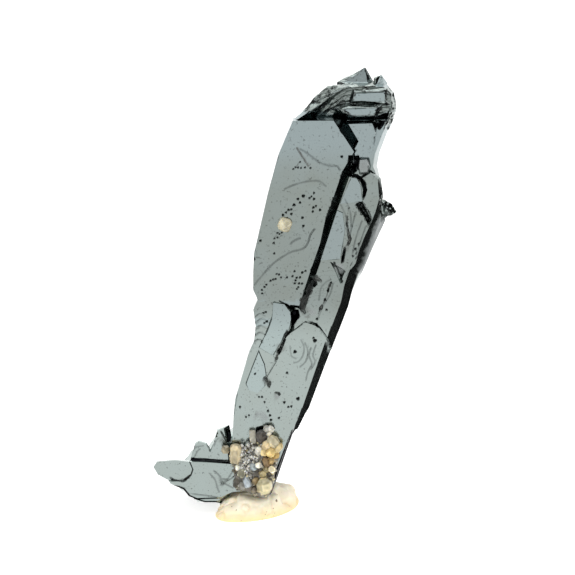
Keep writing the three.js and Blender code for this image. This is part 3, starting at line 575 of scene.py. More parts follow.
def crisp_edges(count, faces, normals):
    """Keys of the edges whose two triangles' normals differ by more than the crisp angle."""
    ends = np.sort(faces[:, [[0, 1], [1, 2], [2, 0]]], axis=2).reshape(-1, 2)
    keys = ends[:, 0] * count + ends[:, 1]
    order = np.argsort(keys, kind="stable")
    owner = np.repeat(np.arange(len(faces)), 3)[order]
    keys = keys[order]
    same = keys[1:] == keys[:-1]
    bend = (normals[owner[1:]] * normals[owner[:-1]]).sum(axis=1) < CRISP_EDGE
    return np.unique(keys[1:][same & bend])


def new_piece(name, points, faces, material, node, values=None, colours=None, crisp=None):
    """A piece of the object from points in millimetres, standing for a CAD node."""
    mesh = bpy.data.meshes.new(name)
    mesh.from_pydata((points * MM).tolist(), [], faces.tolist())
    mesh.polygons.foreach_set("use_smooth", np.ones(len(mesh.polygons), bool))
    if crisp is not None:
        ends = np.empty(len(mesh.edges) * 2, np.int32)
        mesh.edges.foreach_get("vertices", ends)
        ends = np.sort(ends.reshape(-1, 2).astype(np.int64), axis=1)
        mesh.edges.foreach_set("use_edge_sharp", np.isin(ends[:, 0] * len(points) + ends[:, 1], crisp))
    for label, value in (values or {}).items():
        mesh.attributes.new(label, "FLOAT", "POINT").data.foreach_set("value", value.astype(np.float32))
    if colours is not None:
        layer = mesh.attributes.new("grain_colour", "FLOAT_COLOR", "POINT")
        layer.data.foreach_set("color", colours.astype(np.float32).ravel())
    mesh.update()
    mesh.materials.append(material)
    piece = bpy.data.objects.new(name, mesh)
    bpy.context.scene.collection.objects.link(piece)
    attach(piece, "root")
    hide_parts(node)
    return piece


def inside_outline(places, outline):
    """Whether each place lies inside a closed outline: a ray to the right meets an odd number of sides."""
    start, end = outline, np.roll(outline, -1, axis=0)
    x, y = places[:, :1], places[:, 1:]
    spans = (start[:, 1] > y) != (end[:, 1] > y)
    rise = np.where(end[:, 1] == start[:, 1], 1e-9, end[:, 1] - start[:, 1])
    crossing = start[:, 0] + (y - start[:, 1]) / rise * (end[:, 0] - start[:, 0])
    return (spans & (x < crossing)).sum(axis=1) % 2 == 1


def strip_widening(points):
    """How far points move to the left where the CAD bevel is narrower than the real dark strip. Its left
    edge moves by BEVEL_SHIFT, the face beside it less with the distance, and the outer edge stays."""
    places = photo_place(points)
    down, edge, shift = np.array(BEVEL_SHIFT).T
    side = places[:, 0] - np.interp(places[:, 1], down, edge)
    share = np.where(side < 0.0, np.exp(-((side / 9.0) ** 2)), smooth_step(6.0, 1.0, side))
    share = share * smooth_step(-1.0, -2.5, points[:, 1])
    return PIXEL * np.interp(places[:, 1], down, shift) * share


def pits(places, marks):
    """Depth of etch pits: three-cornered cones, with a low lip around each."""
    depth = np.zeros(len(places))
    for x, y, radius in marks:
        reach = 0.8 * radius / PIXEL
        inside = near(places, np.array([[x, y]]), 1.4 * reach)
        offset = places[inside] - (x, y)
        angle = np.arctan2(offset[:, 1], offset[:, 0])
        share = np.hypot(*offset.T) / (reach * (1.0 + 0.14 * np.cos(3.0 * angle + x)))
        bowl = np.maximum(1.0 - share, 0.0)
        lip = np.exp(-(((share - 1.15) / 0.16) ** 2))
        depth[inside] += radius * (1.2 * bowl - 0.05 * lip)
    return depth


def hollows(places, outlines, slope, deepest):
    """Depth of hollows: it grows from each outline inward by a slope, down to a deepest floor."""
    depth = np.zeros(len(places))
    for corners in outlines:
        outline = np.asarray(corners, float)
        box = near(places, outline, 0.0)
        box = box[inside_outline(places[box], outline)]
        away = line_distance(places[box], np.concatenate([outline, outline[:1]])) * PIXEL
        depth[box] = np.maximum(depth[box], np.minimum(slope * away, deepest))
    return depth


def grooves(places, lines, deep, wide):
    """Depth of growth lines: a bell-shaped groove along each line, and a shallow dip that fades beside it."""
    depth = np.zeros(len(places))
    for corners in lines:
        line = smooth_curve(corners)
        inside = near(places, line, 10.0)
        away = line_distance(places[inside], line) * PIXEL
        groove = np.exp(-((away / wide) ** 2)) + 0.25 * np.exp(-away / (5.0 * wide))
        depth[inside] += deep * groove
    return depth


def second_lean(points):
    """How far the second plate's points come forward: an S-shaped rise from its top to its foot, shared out
    in depth from none at the main plate's face and none at the back."""
    rise = smooth_step(SECOND_TOP, SECOND_FOOT, points[:, 2]) * smooth_step(1.5, 2.6, points[:, 0])
    y = points[:, 1]
    share = np.clip((y - MAIN_FACE) / (SECOND_FACE - MAIN_FACE), 0.0, 1.0) * smooth_step(-1.0, -3.5, y)
    over = points[:, 2] - np.interp(points[:, 0], *np.array(LOWER_EDGE).T)
    share = np.where((over < -0.35) | ((over < 0.1) & (y < -5.3)), 0.0, share)
    return SECOND_STEP * rise * share


def face_marks():
    """Every mark on the faces: its line in the photograph, its half width and the size of its triangles."""
    lines = MAIN_LINES + SECOND_LINES + LOWER_LINES + LEFT_LINES + FOOT_LINES + [SCRATCH]
    lines = [smooth_curve(line) for line in lines]
    lines += [np.array(corners + corners[:1], float) for corners in HOLLOWS + ROUGH_HOLLOWS]
    marks = [(line, LINE_HALF_WIDTH, LINE_TRIANGLE) for line in lines]
    marks += [(smooth_curve(line), half_width, ROUGH_TRIANGLE) for line, half_width in ROUGH_SEAMS]
    marks += [(np.array([[x, y], [x + 0.01, y]]), 0.85 * radius, PIT_TRIANGLE) for x, y, radius in PITS]
    return marks


def seam_roughness(points, places):
    """How rough the surface is: 1 along a rough seam, falling to 0 at the seam's ragged edge."""
    rough = np.zeros(len(points))
    for corners, half_width in ROUGH_SEAMS:
        line = smooth_curve(corners)
        inside = near(places, line, 12.0)
        away = line_distance(places[inside], line) * PIXEL
        away += half_width * noise(points[inside], 0.5, 11)
        rough[inside] = np.maximum(rough[inside], smooth_step(half_width, 0.3 * half_width, away))
    return rough


def marked_depth(points, places, front, rough):
    """Depth of the pits, lines, hollows and rough seams in the front faces, the sum of them all, and the
    painted
    shade in them: how far their colour is darkened where shade would fall, the darkest of them."""
    pitted = pits(places, PITS)
    lined = grooves(places, MAIN_LINES, 1.0, 0.12) + grooves(places, FOOT_LINES, 0.9, 0.1)
    lined += grooves(places, SECOND_LINES + LOWER_LINES + LEFT_LINES, 0.75, 0.11)
    sunk = hollows(places, HOLLOWS, 1.25, 0.7)
    coarse = hollows(places, ROUGH_HOLLOWS, 1.6, 0.5)
    depth = pitted + 0.045 * lined + grooves(places, [SCRATCH], 0.05, 0.1)
    depth += sunk + coarse + np.where(coarse > 0.0, 0.4 * noise(points, 0.32, 13), 0.0)
    depth += rough * (0.08 + 0.2 * noise(points, 0.3, 12))
    # Painted shade: the colour is darkened in the hollows and rough seams in front of GAP_LIMIT, and in the
    # pits and along the growth lines
    painted_shade = np.max([
        smooth_step(0.02, 0.16, sunk),
        smooth_step(0.05, 0.3, coarse) * (0.72 + 0.3 * noise(points, 0.3, 16)),
        rough * (0.4 + 0.4 * noise(points, 0.35, 14)),
    ], axis=0) * (points[:, 1] < GAP_LIMIT)
    painted_pit_shade = 0.8 * smooth_step(0.02, 0.1, pitted) * front
    painted_line_shade = 0.4 * smooth_step(0.35, 1.1, lined * (1.0 + 0.3 * noise(points, 0.6, 15))) * front
    return depth * front, np.max([painted_shade, painted_pit_shade, painted_line_shade], axis=0)


def swell_depth(points, places, front, flat):
    """Depth of gentle swells, slopes of about one in a hundred, and of low growth ridges at the left edge."""
    swell = 0.03 * noise(points, 4.5, 1) + 0.012 * noise(points, 1.8, 2)
    ridges = np.sin((places[:, 1] + 0.35 * places[:, 0]) * 1.1 + 3.0 * noise(points, 1.5, 3))
    ridged = smooth_step(*RIDGE_COLUMNS, places[:, 0]) * smooth_step(*RIDGE_TOP_ROWS, places[:, 1])
    ridged = ridged * smooth_step(*RIDGE_FOOT_ROWS, places[:, 1])
    return (swell + 0.028 * ridges * ridged * front) * smooth_step(0.8, 0.99, flat)


def head_ledges(points, places, flat):
    """How much of the head's stepped growth is at each point, none on its smooth facets, and the point's
    place across and along the ledges in pixels: its offset from the head's middle, turned to the ledges."""
    head = smooth_step(HEAD_FOOT - 0.4, HEAD_FOOT + 0.2, points[:, 2] + HEAD_FALL * points[:, 0])
    head = head * smooth_step(0.5, 0.95, flat) * (points[:, 1] < HEAD_BACK)
    head = head * (1.0 - hollows(places, SMOOTH_FACETS, 4.0, 1.0))
    offset = places - HEAD_MIDDLE
    level = smooth_step(*LEDGES_TURN, places[:, 0])
    across = offset @ LEDGE_ACROSS * (1.0 - level) + offset[:, 1] * level
    along = offset @ LEDGE_ALONG * (1.0 - level) + offset[:, 0] * level
    return head, across, along


def ledge_depth(points, across, along):
    """Depth of the ledges: noise drawn out along them, wide and fine, and thin ridges where a third is 0."""
    wide, thin, fine = (
        noise(np.stack([across / width, along / length, 0.1 * points[:, 1]], axis=1), 1.0, seed)
        for seed, (width, length) in enumerate(LEDGE_SIZES, 21)
    )
    return 0.24 * wide - 0.13 * np.exp(-((thin / 0.16) ** 2)) + 0.06 * fine


def edge_depth(points, flat, strip):
    """Depth of the rough lump on the right edge, of the dark strip's fine grain and of chips at edges."""
    x, _, z = points.T
    lump = smooth_step(EDGE_LUMP_LEFT + 0.2, EDGE_LUMP_LEFT + 1.0, x)
    lump = lump * smooth_step(EDGE_LUMP_FOOT - 0.2, EDGE_LUMP_FOOT + 0.4, z)
    lump = lump * smooth_step(EDGE_LUMP_TOP + 0.4, EDGE_LUMP_TOP - 0.4, z)
    depth = lump * (0.1 + 0.25 * noise(points, 0.42, 26))
    depth += strip * (0.035 * noise(points, 0.3, 27) + 0.02 * noise(points, 0.9, 28))
    chipped = np.maximum(noise(points, 0.8, 31) - 0.35, 0.0) * smooth_step(0.995, 0.9, flat)
    return depth + 0.16 * chipped


def right_of(places, edge):
    """How far places lie to the right of an edge, which is given as y and x, in pixels."""
    return places[:, 0] - np.interp(places[:, 1], *np.array(edge).T)


def patch_reach(places, patches):
    """Distance from each place to the middle of the nearest patch, as a share of that patch's radius."""
    x, y, radius = np.array(patches).T
    return (np.hypot(places[:, :1] - x, places[:, 1:] - y) / radius).min(axis=1)


def dust_amount(points, places, rough, strip):
    """Brown dust: in ragged patches, in rough seams, in the scratch and a little on the dark strip."""
    patch = smooth_step(1.0, 0.2, patch_reach(places, DUST_PATCHES) + 0.6 * noise(points, 0.4, 41))
    scratch = smooth_step(0.16, 0.05, line_distance(places, smooth_curve(SCRATCH)) * PIXEL)
    dust = np.max([0.5 * patch, 0.75 * rough, 0.9 * scratch, 0.05 * strip], axis=0)
    return dust * (0.7 + 0.3 * noise(points, 0.25, 42)) * (points[:, 1] < FRONT_LIMIT)


def pale_amount(points, places, gap):
    """Pale weathering: in ragged patches outside the gaps' painted shade, and on the sliver beside the dark
    strip.
    """
    patch = smooth_step(1.05, 0.6, patch_reach(places, PALE_PATCHES) + 0.6 * noise(points, 0.7, 44))
    patch = 0.6 * patch * (points[:, 1] < GAP_LIMIT) * (1.0 - gap)
    sliver = smooth_step(0.0, 1.2, right_of(places, SLIVER_EDGE))
    for rows in (SLIVER_TOP_ROWS, SLIVER_FOOT_ROWS):
        sliver = sliver * smooth_step(*rows, places[:, 1])
    return np.maximum(patch, 0.95 * sliver)


def stain_amount(points, places, plane, head):
    """Brown stain below the top of the main face and on the head's ledges, and little on the fresh faces,
    which are told by their depth."""
    z = points[:, 2]
    left_tablets = LEFT_FACE + LEFT_LEAN * (LEFT_TOP - z) - TABLET_RISE
    fresh = (np.abs(left_tablets - plane) < 0.08) & (z > LEFT_FRESH_FOOT) & (places[:, 1] > LEFT_TOP_ROW)
    upper = (np.abs(plane - SECOND_TABLET) < 0.03) | (np.abs(plane - NECK_FACE) < 0.03)
    fresh |= upper & (z > UPPER_FRESH_FOOT)
    stain = np.where(fresh, 0.15, 0.7 + 0.15 * noise(points, 1.6, 43))
    return np.clip(stain * np.maximum(smooth_step(*STAIN_ROWS, places[:, 1]), head), 0.0, 1.0)


def hematite_crystals():
    """The CAD solid's faces cut fine and moved along their normals by the relief of grown crystals."""
    points, faces = cad_triangles("hematite_crystals")
    first_normals, _ = face_normals(points, faces)
    seen = first_normals[:, 1] < SEEN_SLOPE
    points, faces, parent = refine(points, faces, seen, triangle_sizes(face_marks()))
    normals = first_normals[parent]
    _, areas = face_normals(points, faces)
    out, flat = corner_normals(points, faces, normals, areas)
    crisp = crisp_edges(len(points), faces, normals)
    plane = points[:, 1].copy()
    points[:, 1] -= second_lean(points)
    points[:, 0] -= strip_widening(points)

    places = photo_place(points)
    inside_face = smooth_step(0.9, 0.99, flat)
    front = smooth_step(0.6, 0.9, -out[:, 1]) * inside_face
    bevel = smooth_step(0.35, 0.5, out[:, 0]) * smooth_step(0.35, 0.5, -out[:, 1]) * inside_face
    strip = bevel * (right_of(places, STRIP_EDGE) > 0.0)
    rough = seam_roughness(points, places)
    head, across, along = head_ledges(points, places, flat)
    # gap is painted shade: how far the colour is darkened in the hollows, seams, pits and lines
    depth, gap = marked_depth(points, places, front, rough)
    depth += swell_depth(points, places, front, flat)
    depth += head * ledge_depth(points, across, along)
    depth += edge_depth(points, flat, strip)

    values = {
        # Painted sheen: the lower faces are painted lighter, standing for their brighter reflection
        "painted_sheen": smooth_step(*PAINTED_SHEEN_ROWS, places[:, 1]),
        "stain": stain_amount(points, places, plane, head),
        "dust": dust_amount(points, places, rough, strip),
        "pale": pale_amount(points, places, gap),
        # The gap attribute carries the painted shade to the material
        "gap": gap,
        "streaked": head,
        "across": across / STREAK_SIZE[0],
        "along": along / STREAK_SIZE[1],
    }
    return new_piece(
        "hematite_crystals_grown", points - out * depth[:, None], faces, specular_hematite(),
        "hematite_crystals", values, crisp=crisp,
    )


def new_material(name):
    """A material with its node tree and its surface shader."""
    material = bpy.data.materials.new(name)
    material.use_nodes = True
    return material, material.node_tree, material.node_tree.nodes["Principled BSDF"]


def specular_hematite():
    """Specular hematite, grown faces: an opaque steel-grey mirror, cool, with dust only where it is rough."""
    material, tree, shader = new_material("specular_hematite")
    names = ("painted_sheen", "stain", "dust", "pale", "gap", "streaked", "across", "along")
    value = {name: add(tree, "ShaderNodeAttribute", attribute_name=name).outputs["Fac"] for name in names}
    place = add(tree, "ShaderNodeTexCoord").outputs["Object"]
    # Clouds in the polish, dark specks, grit and broad growth swells: size in millimetres, detail, roughness
    cloud, dots, grit, swell = (
        add(
            tree, "ShaderNodeTexNoise",
            {"Vector": place, "Scale": 1.0 / (size * MM), "Detail": detail, "Roughness": roughness},
        ).outputs["Fac"]
        for size, detail, roughness in [(2.5, 4.0, 0.5), (0.34, 2.0, 0.6), (0.5, 5.0, 0.7), (6.0, 2.0, 0.4)]
    )
    speck = add(
        tree, "ShaderNodeMapRange", {"Value": dots, "From Min": 0.62, "From Max": 0.7, "To Max": 0.5},
    ).outputs["Result"]

    # Steel grey, clean and stained, painted darker above and lighter below as a painted sheen, then dust,
    # specks, weathering and the gaps' painted shade over it
    upper, lower = (
        add(tree, "ShaderNodeMix", {0: value["stain"], 6: linear(clean), 7: linear(warm)}, data_type="RGBA")
        for clean, warm in [("929e9f", "878e88"), ("a8b6b5", "a2aba6")]
    )
    colour = add(
        tree, "ShaderNodeMix", {0: value["painted_sheen"], 6: upper.outputs[2], 7: lower.outputs[2]}, data_type="RGBA",
    )
    # 16171a is painted shade, near black where the gap attribute marks hollows, seams, pits and lines
    covers = {"3a3029": value["dust"], "3a3a36": speck, "8f9494": value["pale"], "16171a": value["gap"]}
    for cover, share in covers.items():
        colour = add(
            tree, "ShaderNodeMix", {0: share, 6: colour.outputs[2], 7: linear(cover)}, data_type="RGBA",
        )
    tree.links.new(colour.outputs[2], shader.inputs["Base Color"])

    # Dust and weathering take the mirror away
    matt = add(
        tree, "ShaderNodeMath", {0: value["dust"], 1: value["pale"]}, operation="MAXIMUM",
    ).outputs["Value"]
    shine = add(tree, "ShaderNodeMapRange", {"Value": matt, "To Min": 1.0, "To Max": 0.4})
    tree.links.new(shine.outputs["Result"], shader.inputs["Metallic"])
    satin = add(
        tree, "ShaderNodeMapRange",
        {"Value": cloud, "From Min": 0.3, "From Max": 0.7, "To Min": 0.06, "To Max": 0.12},
    )
    rough = add(
        tree, "ShaderNodeMath", {0: matt, 1: 0.35, 2: satin.outputs["Result"]}, operation="MULTIPLY_ADD",
    )
    tree.links.new(rough.outputs["Value"], shader.inputs["Roughness"])

    # Growth layers end in low steps, grit lies over them, and fine streaks run along the head's ledges
    layers = add(tree, "ShaderNodeMath", {0: swell, 1: GROWTH_LAYERS}, operation="MULTIPLY")
    step = add(tree, "ShaderNodeMath", {0: layers.outputs["Value"]}, operation="FRACT")
    contour = add(
        tree, "ShaderNodeBump", {"Height": step.outputs["Value"], "Strength": 0.2, "Distance": 0.04 * MM},
    )
    gritty = add(
        tree, "ShaderNodeBump",
        {"Height": grit, "Strength": 0.22, "Distance": 0.1 * MM, "Normal": contour.outputs["Normal"]},
    )
    ledge_place = add(tree, "ShaderNodeCombineXYZ", {"X": value["across"], "Y": value["along"]})
    ledges = add(
        tree, "ShaderNodeTexNoise", {"Vector": ledge_place.outputs["Vector"], "Scale": 1.0, "Detail": 2.0},
    )
    height = add(
        tree, "ShaderNodeMath", {0: ledges.outputs["Fac"], 1: value["streaked"]}, operation="MULTIPLY",
    ).outputs["Value"]
    streaks = add(
        tree, "ShaderNodeBump",
        {"Height": height, "Strength": 1.0, "Distance": 0.16 * MM, "Normal": gritty.outputs["Normal"]},
    )
    tree.links.new(streaks.outputs["Normal"], shader.inputs["Normal"])
    return material


def rounded_crystal(grid, side, length, sharp, chips=()):
    """Points on a unit grid of directions, pushed out until they meet the crystal's flat faces. The distance
    is the power mean of the distances to the planes, so a high power leaves only slightly rounded edges.
    Gives the points and the number of the face that each lies on."""
    columns, rows = grid
    around = np.linspace(0.0, 2.0 * math.pi, columns, endpoint=False)
    down = np.linspace(0.0, math.pi, rows)
    turn, tilt = np.meshgrid(around, down, indexing="ij")
    ray = np.stack([np.sin(tilt) * np.cos(turn), np.sin(tilt) * np.sin(turn), np.cos(tilt)], axis=2)
    tips = np.concatenate([POINTS_UP, POINTS_UP * [1, 1, -1]]) / (0.78 * length)
    ends = np.array([[0.0, 0.0, 1.0], [0.0, 0.0, -1.0]]) / (0.84 * length)
    planes = np.concatenate([SIDES / side, tips, ends, np.reshape(chips, (-1, 3))])
    closeness = np.maximum(ray @ planes.T, 0.0) ** sharp
    points = ray / closeness.sum(axis=2, keepdims=True) ** (1.0 / sharp)
    return points.reshape(-1, 3), closeness.argmax(axis=2).reshape(-1)


def chip_planes(rng, count, low, high):
    """Broken faces of a grain: random directions, each divided by its random distance from the middle."""
    planes = rng.normal(size=(count, 3))
    return planes / (np.linalg.norm(planes, axis=1, keepdims=True) * rng.uniform(low, high, (count, 1)))


def grid_faces(columns, rows):
    """Triangles of a ball-shaped grid whose first and last rows are single points, faces outward."""
    i, j = np.meshgrid(np.arange(columns), np.arange(rows - 1), indexing="ij")
    a, b = i * rows + j, (i + 1) % columns * rows + j
    quads = np.stack([np.stack([a, a + 1, b + 1], -1), np.stack([a, b + 1, b], -1)], axis=2)
    faces = quads.reshape(-1, 3)
    pole = np.where(faces % rows == 0, 0, np.where(faces % rows == rows - 1, rows - 1, faces))
    return pole[(pole != np.roll(pole, 1, axis=1)).all(axis=1)]


def turned(points, lean, nod, spin):
    """Points spun about their own axis, nodded toward the viewer, and leaned in the picture, in degrees. Each
    turn moves one axis toward another by its angle."""
    for angle, first, second in ((spin, 0, 1), (nod, 1, 2), (lean, 2, 0)):
        turn = np.eye(3)
        turn[first, first] = turn[second, second] = math.cos(math.radians(angle))
        turn[second, first] = math.sin(math.radians(angle))
        turn[first, second] = -turn[second, first]
        points = points @ turn.T
    return points


def crust_bed():
    """The dark sugary bed: rings of the crust's outline drawn in to its middle, domed, and lumpy by noise."""
    outline = on_plane(smooth_curve(CRUST_OUTLINE, 6, closed=True), LOWER_FACE)
    middle = outline.mean(axis=0)
    share = np.linspace(0.0, 1.0, BED_RINGS)
    rings = middle + share[None, :, None] * (outline - middle)[:, None]
    rings[..., 1] = LOWER_FACE - BED_HEIGHT * (1.0 - share**2) ** 0.5
    flat = rings.reshape(-1, 3)
    lumps = 0.45 * noise(flat, 0.9, 51) + 0.25 * noise(flat, 0.4, 52)
    rings[..., 1] -= lumps.reshape(rings.shape[:2]) * (1.0 - share**4)
    sunk = [0.0, BED_SUNK, 0.0]
    back_middle = np.broadcast_to(middle + sunk, outline.shape)
    points = np.concatenate([rings, rings[:, -1:] + sunk, back_middle[:, None]], axis=1)
    return points.reshape(-1, 3), grid_faces(*points.shape[:2])


def large_grain(rng, x, y, side, length, lean, proud, colour):
    """A large grain at its place in the photograph: a chipped crystal, each of its faces in its own tone."""
    chips = chip_planes(rng, GRAIN_CHIPS, 0.85 * side, 1.25 * side) * [1.0, 1.0, side / length]
    shape, face = rounded_crystal(GRAIN_GRID, side, length, 40, chips)
    shape = 1.12 * turned(shape, lean, rng.uniform(-30, 30), rng.uniform(0, 60))
    shape = shape * (1.0 + 0.03 * noise(shape + x, 0.3, 62))[:, None]
    tone = rng.uniform(0.6, 1.35, face.max() + 1)[face] * (1.0 + 0.35 * noise(shape + y, 0.4, 63))
    return shape + on_plane((x, y), LOWER_FACE - proud), shaded_colour(colour, tone)


def small_grains(rng, corners, count, low, high, colours):
    """Small grains strewn within an outline: one small crystal, stretched and turned at random."""
    small, _ = rounded_crystal(SMALL_GRID, 1.0, 1.5, 30)
    outline = np.asarray(corners, float)
    tries = rng.uniform(outline.min(axis=0), outline.max(axis=0), (count * 5, 2))
    for place in tries[inside_outline(tries, outline)][:count]:
        stretch = rng.uniform(0.7, 1.3, 3) * rng.uniform(0.1, 0.2)
        shape = turned(small * stretch, rng.uniform(0, 180), rng.uniform(-60, 60), rng.uniform(0, 60))
        middle = on_plane(place, LOWER_FACE - rng.uniform(low, high))
        tone = np.full(len(shape), rng.uniform(0.6, 1.2))
        yield shape + middle, shaded_colour(colours[rng.integers(len(colours))], tone)


def quartz_crust():
    """The bed, the large grains at their places, and many small grains strewn over it, in one mesh."""
    rng = np.random.default_rng(5)
    bed, bed_faces = crust_bed()
    shade = 0.5 + 0.5 * noise(bed, 0.7, 61)
    bed_colours = np.outer(1.0 - shade, linear("55514b")) + np.outer(shade, linear("a09c94"))
    parts = [(bed, bed_colours, bed_faces)]
    grain_faces, small_faces = grid_faces(*GRAIN_GRID), grid_faces(*SMALL_GRID)
    parts += [(*large_grain(rng, *grain), grain_faces) for grain in LARGE_GRAINS]
    parts += [(*grain, small_faces) for lot in SMALL_GRAINS for grain in small_grains(rng, *lot)]
    points, colours = (np.concatenate([part[layer] for part in parts]) for layer in (0, 1))
    starts = np.cumsum([0] + [len(part[0]) for part in parts[:-1]])
    faces = np.concatenate([part[2] + start for part, start in zip(parts, starts)])
    faces, points, colours = without_loose(faces, points, colours)
    crisp = crisp_edges(len(points), faces, face_normals(points, faces)[0])
    return new_piece(
        "quartz_crust_grains", points, faces, cloudy_quartz("cloudy_quartz"), "quartz_crust",
        colours=colours, crisp=crisp,
    )


def shaded_colour(colour, tone):
    """A hex colour times a tone at each point, with full alpha."""
    shades = np.outer(np.clip(tone, 0.3, 1.5), linear(colour))
    shades[:, 3] = 1.0
    return np.minimum(shades, 1.0)


def without_loose(faces, *layers):
    """The triangles, and each layer of values at the points, without the points that no triangle uses."""
    used, number = np.unique(faces, return_inverse=True)
    return number.reshape(-1, 3), *(layer[used] for layer in layers)


def cloudy_quartz(name):
    """Cloudy natural quartz with iron stain: waxy glints on broken grains, light glowing softly in them."""
    material, tree, shader = new_material(name)
    colour = add(tree, "ShaderNodeAttribute", attribute_name="grain_colour")
    place = add(tree, "ShaderNodeTexCoord")
    cloud = add(
        tree, "ShaderNodeTexNoise",
        {"Vector": place.outputs["Object"], "Scale": 1.0 / (0.5 * MM), "Detail": 4.0},
    )
    clouded = add(
        tree, "ShaderNodeMix", {0: 0.55, 6: colour.outputs["Color"], 7: cloud.outputs["Fac"]},
        data_type="RGBA", blend_type="SOFT_LIGHT",
    )
    tree.links.new(clouded.outputs[2], shader.inputs["Base Color"])
    shader.inputs["Roughness"].default_value = 0.14
    shader.inputs["IOR"].default_value = 1.544
    shader.inputs["Subsurface Weight"].default_value = 0.4
    shader.inputs["Subsurface Radius"].default_value = (0.25 * MM, 0.2 * MM, 0.12 * MM)
    shader.inputs["Subsurface Scale"].default_value = 1.0
    bump = add(
        tree, "ShaderNodeBump", {"Height": cloud.outputs["Fac"], "Strength": 0.25, "Distance": 0.1 * MM},
    )
    tree.links.new(bump.outputs["Normal"], shader.inputs["Normal"])
    return material


def face_grain():
    """The pale grain on the main face: a chipped crystal lying on its side, pressed a little flat, with a
    shadow toward its lower right."""
    rng = np.random.default_rng(12)
    chips = chip_planes(rng, FACE_GRAIN_CHIPS, 0.7, 1.0)
    shape, face = rounded_crystal(FACE_GRAIN_GRID, 0.92, 1.1, 24, chips)
    shape = turned(shape, 60.0, 18.0, 12.0) * (1.0 + 0.06 * noise(shape, 0.5, 71))[:, None]
    points = shape * [1.0, 0.72, 1.0] + FACE_GRAIN_PLACE
    shadow = smooth_step(0.0, 1.1, shape @ [0.75, 0.0, -0.65])
    tone = rng.uniform(0.75, 1.2, face.max() + 1)[face]
    tone = tone * (1.0 + 0.25 * noise(shape, 0.4, 72)) * (1.0 - 0.5 * shadow)
    colours = shaded_colour("c3bda4", tone)
    faces, points, colours = without_loose(grid_faces(*FACE_GRAIN_GRID), points, colours)
    return new_piece(
        "pale_face_grain", points, faces, cloudy_quartz("stained_quartz"), "face_grain",
        colours=colours,
    )


def putty_lump():
    """The lump: its profile carried round its outline, with dents, small lumps and creases by noise."""
    outline = smooth_curve(PUTTY_OUTLINE, 16, closed=True)
    profile = smooth_curve(PUTTY_PROFILE, 7)
    middle = outline.mean(axis=0)
    across = middle + np.clip(profile[:, 0], 0.0, 1.0)[None, :, None] * (outline - middle)[:, None]
    high = np.broadcast_to(np.maximum(profile[:, 1], 0.0), across.shape[:2])
    points = np.concatenate([across, high[..., None]], axis=2).reshape(-1, 3)
    points[:, 2] *= 1.0 - PUTTY_TAPER * smooth_step(*PUTTY_TAPER_ENDS, points[:, 0])
    rise = np.clip(points[:, 2], 0.0, 1.0)
    crease = (1.0 - np.abs(noise(points, 1.9, 84))) ** 8
    push = 0.5 * noise(points, 2.4, 81) + 0.3 * noise(points, 1.1, 82) + 0.07 * noise(points, 0.4, 83)
    push -= 0.4 * crease + 0.12
    outward = np.concatenate([points[:, :2] - middle, points[:, 2:] * 1.2], axis=1)
    outward /= np.linalg.norm(outward, axis=1, keepdims=True) + 1e-9
    points = points + outward * (push * rise)[:, None]
    faces, points = without_loose(grid_faces(len(outline), len(profile))[:, ::-1], points)
    return new_piece("display_putty", points, faces, soft_putty(), "putty_lump")


def soft_putty():
    """Soft display putty, pressed by hand: matt cream, with warm painted shade toward its foot, and a few
    dark specks.
    """
    material, tree, shader = new_material("soft_putty")
    place = add(tree, "ShaderNodeTexCoord").outputs["Object"]
    blotch, dots = (
        add(tree, "ShaderNodeTexNoise", {"Vector": place, "Scale": 1.0 / (size * MM), "Detail": detail})
        for size, detail in [(1.6, 3.0), (0.45, 1.0)]
    )
    high = add(tree, "ShaderNodeSeparateXYZ", {0: place})
    # Painted shade: the colour turns warm yellow toward the foot, below 1.6 mm
    low = add(
        tree, "ShaderNodeMapRange",
        {"Value": high.outputs["Z"], "From Min": 0.0, "From Max": 1.6 * MM, "To Min": 0.85, "To Max": 0.0},
    )
    speck = add(
        tree, "ShaderNodeMapRange", {"Value": dots.outputs["Fac"], "From Min": 0.72, "From Max": 0.76},
    )
    colour = add(
        tree, "ShaderNodeMix", {0: blotch.outputs["Fac"], 6: linear("fff7e6"), 7: linear("f7e8c6")},
        data_type="RGBA",
    )
    # f3d79a is the painted warm shade at the foot, 8a7656 the specks
    for share, cover in [(low, "f3d79a"), (speck, "8a7656")]:
        colour = add(
            tree, "ShaderNodeMix", {0: share.outputs["Result"], 6: colour.outputs[2], 7: linear(cover)},
            data_type="RGBA",
        )
    tree.links.new(colour.outputs[2], shader.inputs["Base Color"])
    shader.inputs["Roughness"].default_value = 0.6
    shader.inputs["Subsurface Weight"].default_value = 0.3
    shader.inputs["Subsurface Radius"].default_value = (1.2 * MM, 0.8 * MM, 0.4 * MM)
    shader.inputs["Subsurface Scale"].default_value = 1.0
    return material


def pale_floor():
    """A plain pale floor of matt paper, two metres square, which the mirror faces don't show."""
    material, _, shader = new_material("pale_paper")
    shader.inputs["Base Color"].default_value = linear("d6d6d4")
    shader.inputs["Roughness"].default_value = 0.9
    shader.inputs["Emission Color"].default_value = linear("ffffff")
    shader.inputs["Emission Strength"].default_value = 0.75
    mesh = bpy.data.meshes.new("floor")
    mesh.from_pydata([(-1, -1, 0), (1, -1, 0), (1, 1, 0), (-1, 1, 0)], [], [(0, 1, 2, 3)])
    mesh.materials.append(material)
    floor = bpy.data.objects.new("floor", mesh)
    bpy.context.scene.collection.objects.link(floor)
    floor.visible_glossy = False


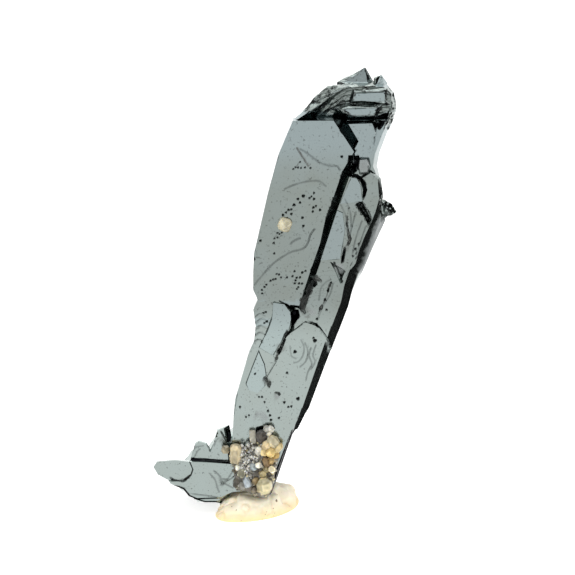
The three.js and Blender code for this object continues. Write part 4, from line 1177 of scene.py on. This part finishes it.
def studio_light():
    """Light from soft patches, which only mirrors show: each is full within an angle of its direction and
    fades smoothly to none. Matt surfaces get even light and a weak window."""
    world = bpy.data.worlds.new("studio")
    world.use_nodes = True
    tree = world.node_tree
    place = add(tree, "ShaderNodeTexCoord")
    total = DIM_LIGHT
    for direction, full, none, strength in LIGHTS:
        length = math.sqrt(sum(part * part for part in direction))
        toward = add(
            tree, "ShaderNodeVectorMath",
            {0: place.outputs["Generated"], 1: tuple(part / length for part in direction)},
            operation="DOT_PRODUCT",
        )
        patch = add(
            tree, "ShaderNodeMapRange",
            {
                "Value": toward.outputs["Value"], "From Min": math.cos(math.radians(none)),
                "From Max": math.cos(math.radians(full)), "To Max": strength,
            },
            interpolation_type="SMOOTHSTEP",
        )
        total = add(tree, "ShaderNodeMath", {0: total, 1: patch.outputs["Result"]}).outputs["Value"]
    seen = add(tree, "ShaderNodeLightPath")
    soft = add(tree, "ShaderNodeMix", {0: seen.outputs["Is Glossy Ray"], 2: SOFT_LIGHT, 3: total})
    shown = add(tree, "ShaderNodeMix", {0: seen.outputs["Is Camera Ray"], 2: soft.outputs[0], 3: 1.0})
    background = tree.nodes["Background"]
    tree.links.new(shown.outputs[0], background.inputs["Color"])
    bpy.context.scene.world = world
    lamp = bpy.data.lights.new("window", "AREA")
    lamp.size = WINDOW_SIZE
    lamp.energy = WINDOW_POWER
    window = bpy.data.objects.new("window", lamp)
    window.location = WINDOW_PLACE
    window.rotation_euler = WINDOW_TURN
    window.visible_glossy = False
    bpy.context.scene.collection.objects.link(window)


def camera():
    """The camera at the photograph's viewing angle."""
    data = bpy.data.cameras.new("camera")
    data.lens = LENS
    data.sensor_width = SENSOR
    data.clip_end = 10.0
    viewer = bpy.data.objects.new("camera", data)
    viewer.location = (CAMERA_PLACE * MM).tolist()
    viewer.rotation_euler = (math.pi / 2 - CAMERA_RISE, 0.0, 0.0)
    bpy.context.scene.collection.objects.link(viewer)
    bpy.context.scene.camera = viewer


hematite_crystals()
quartz_crust()
face_grain()
putty_lump()
pale_floor()
studio_light()
camera()
bpy.context.scene.view_settings.view_transform = "Standard"
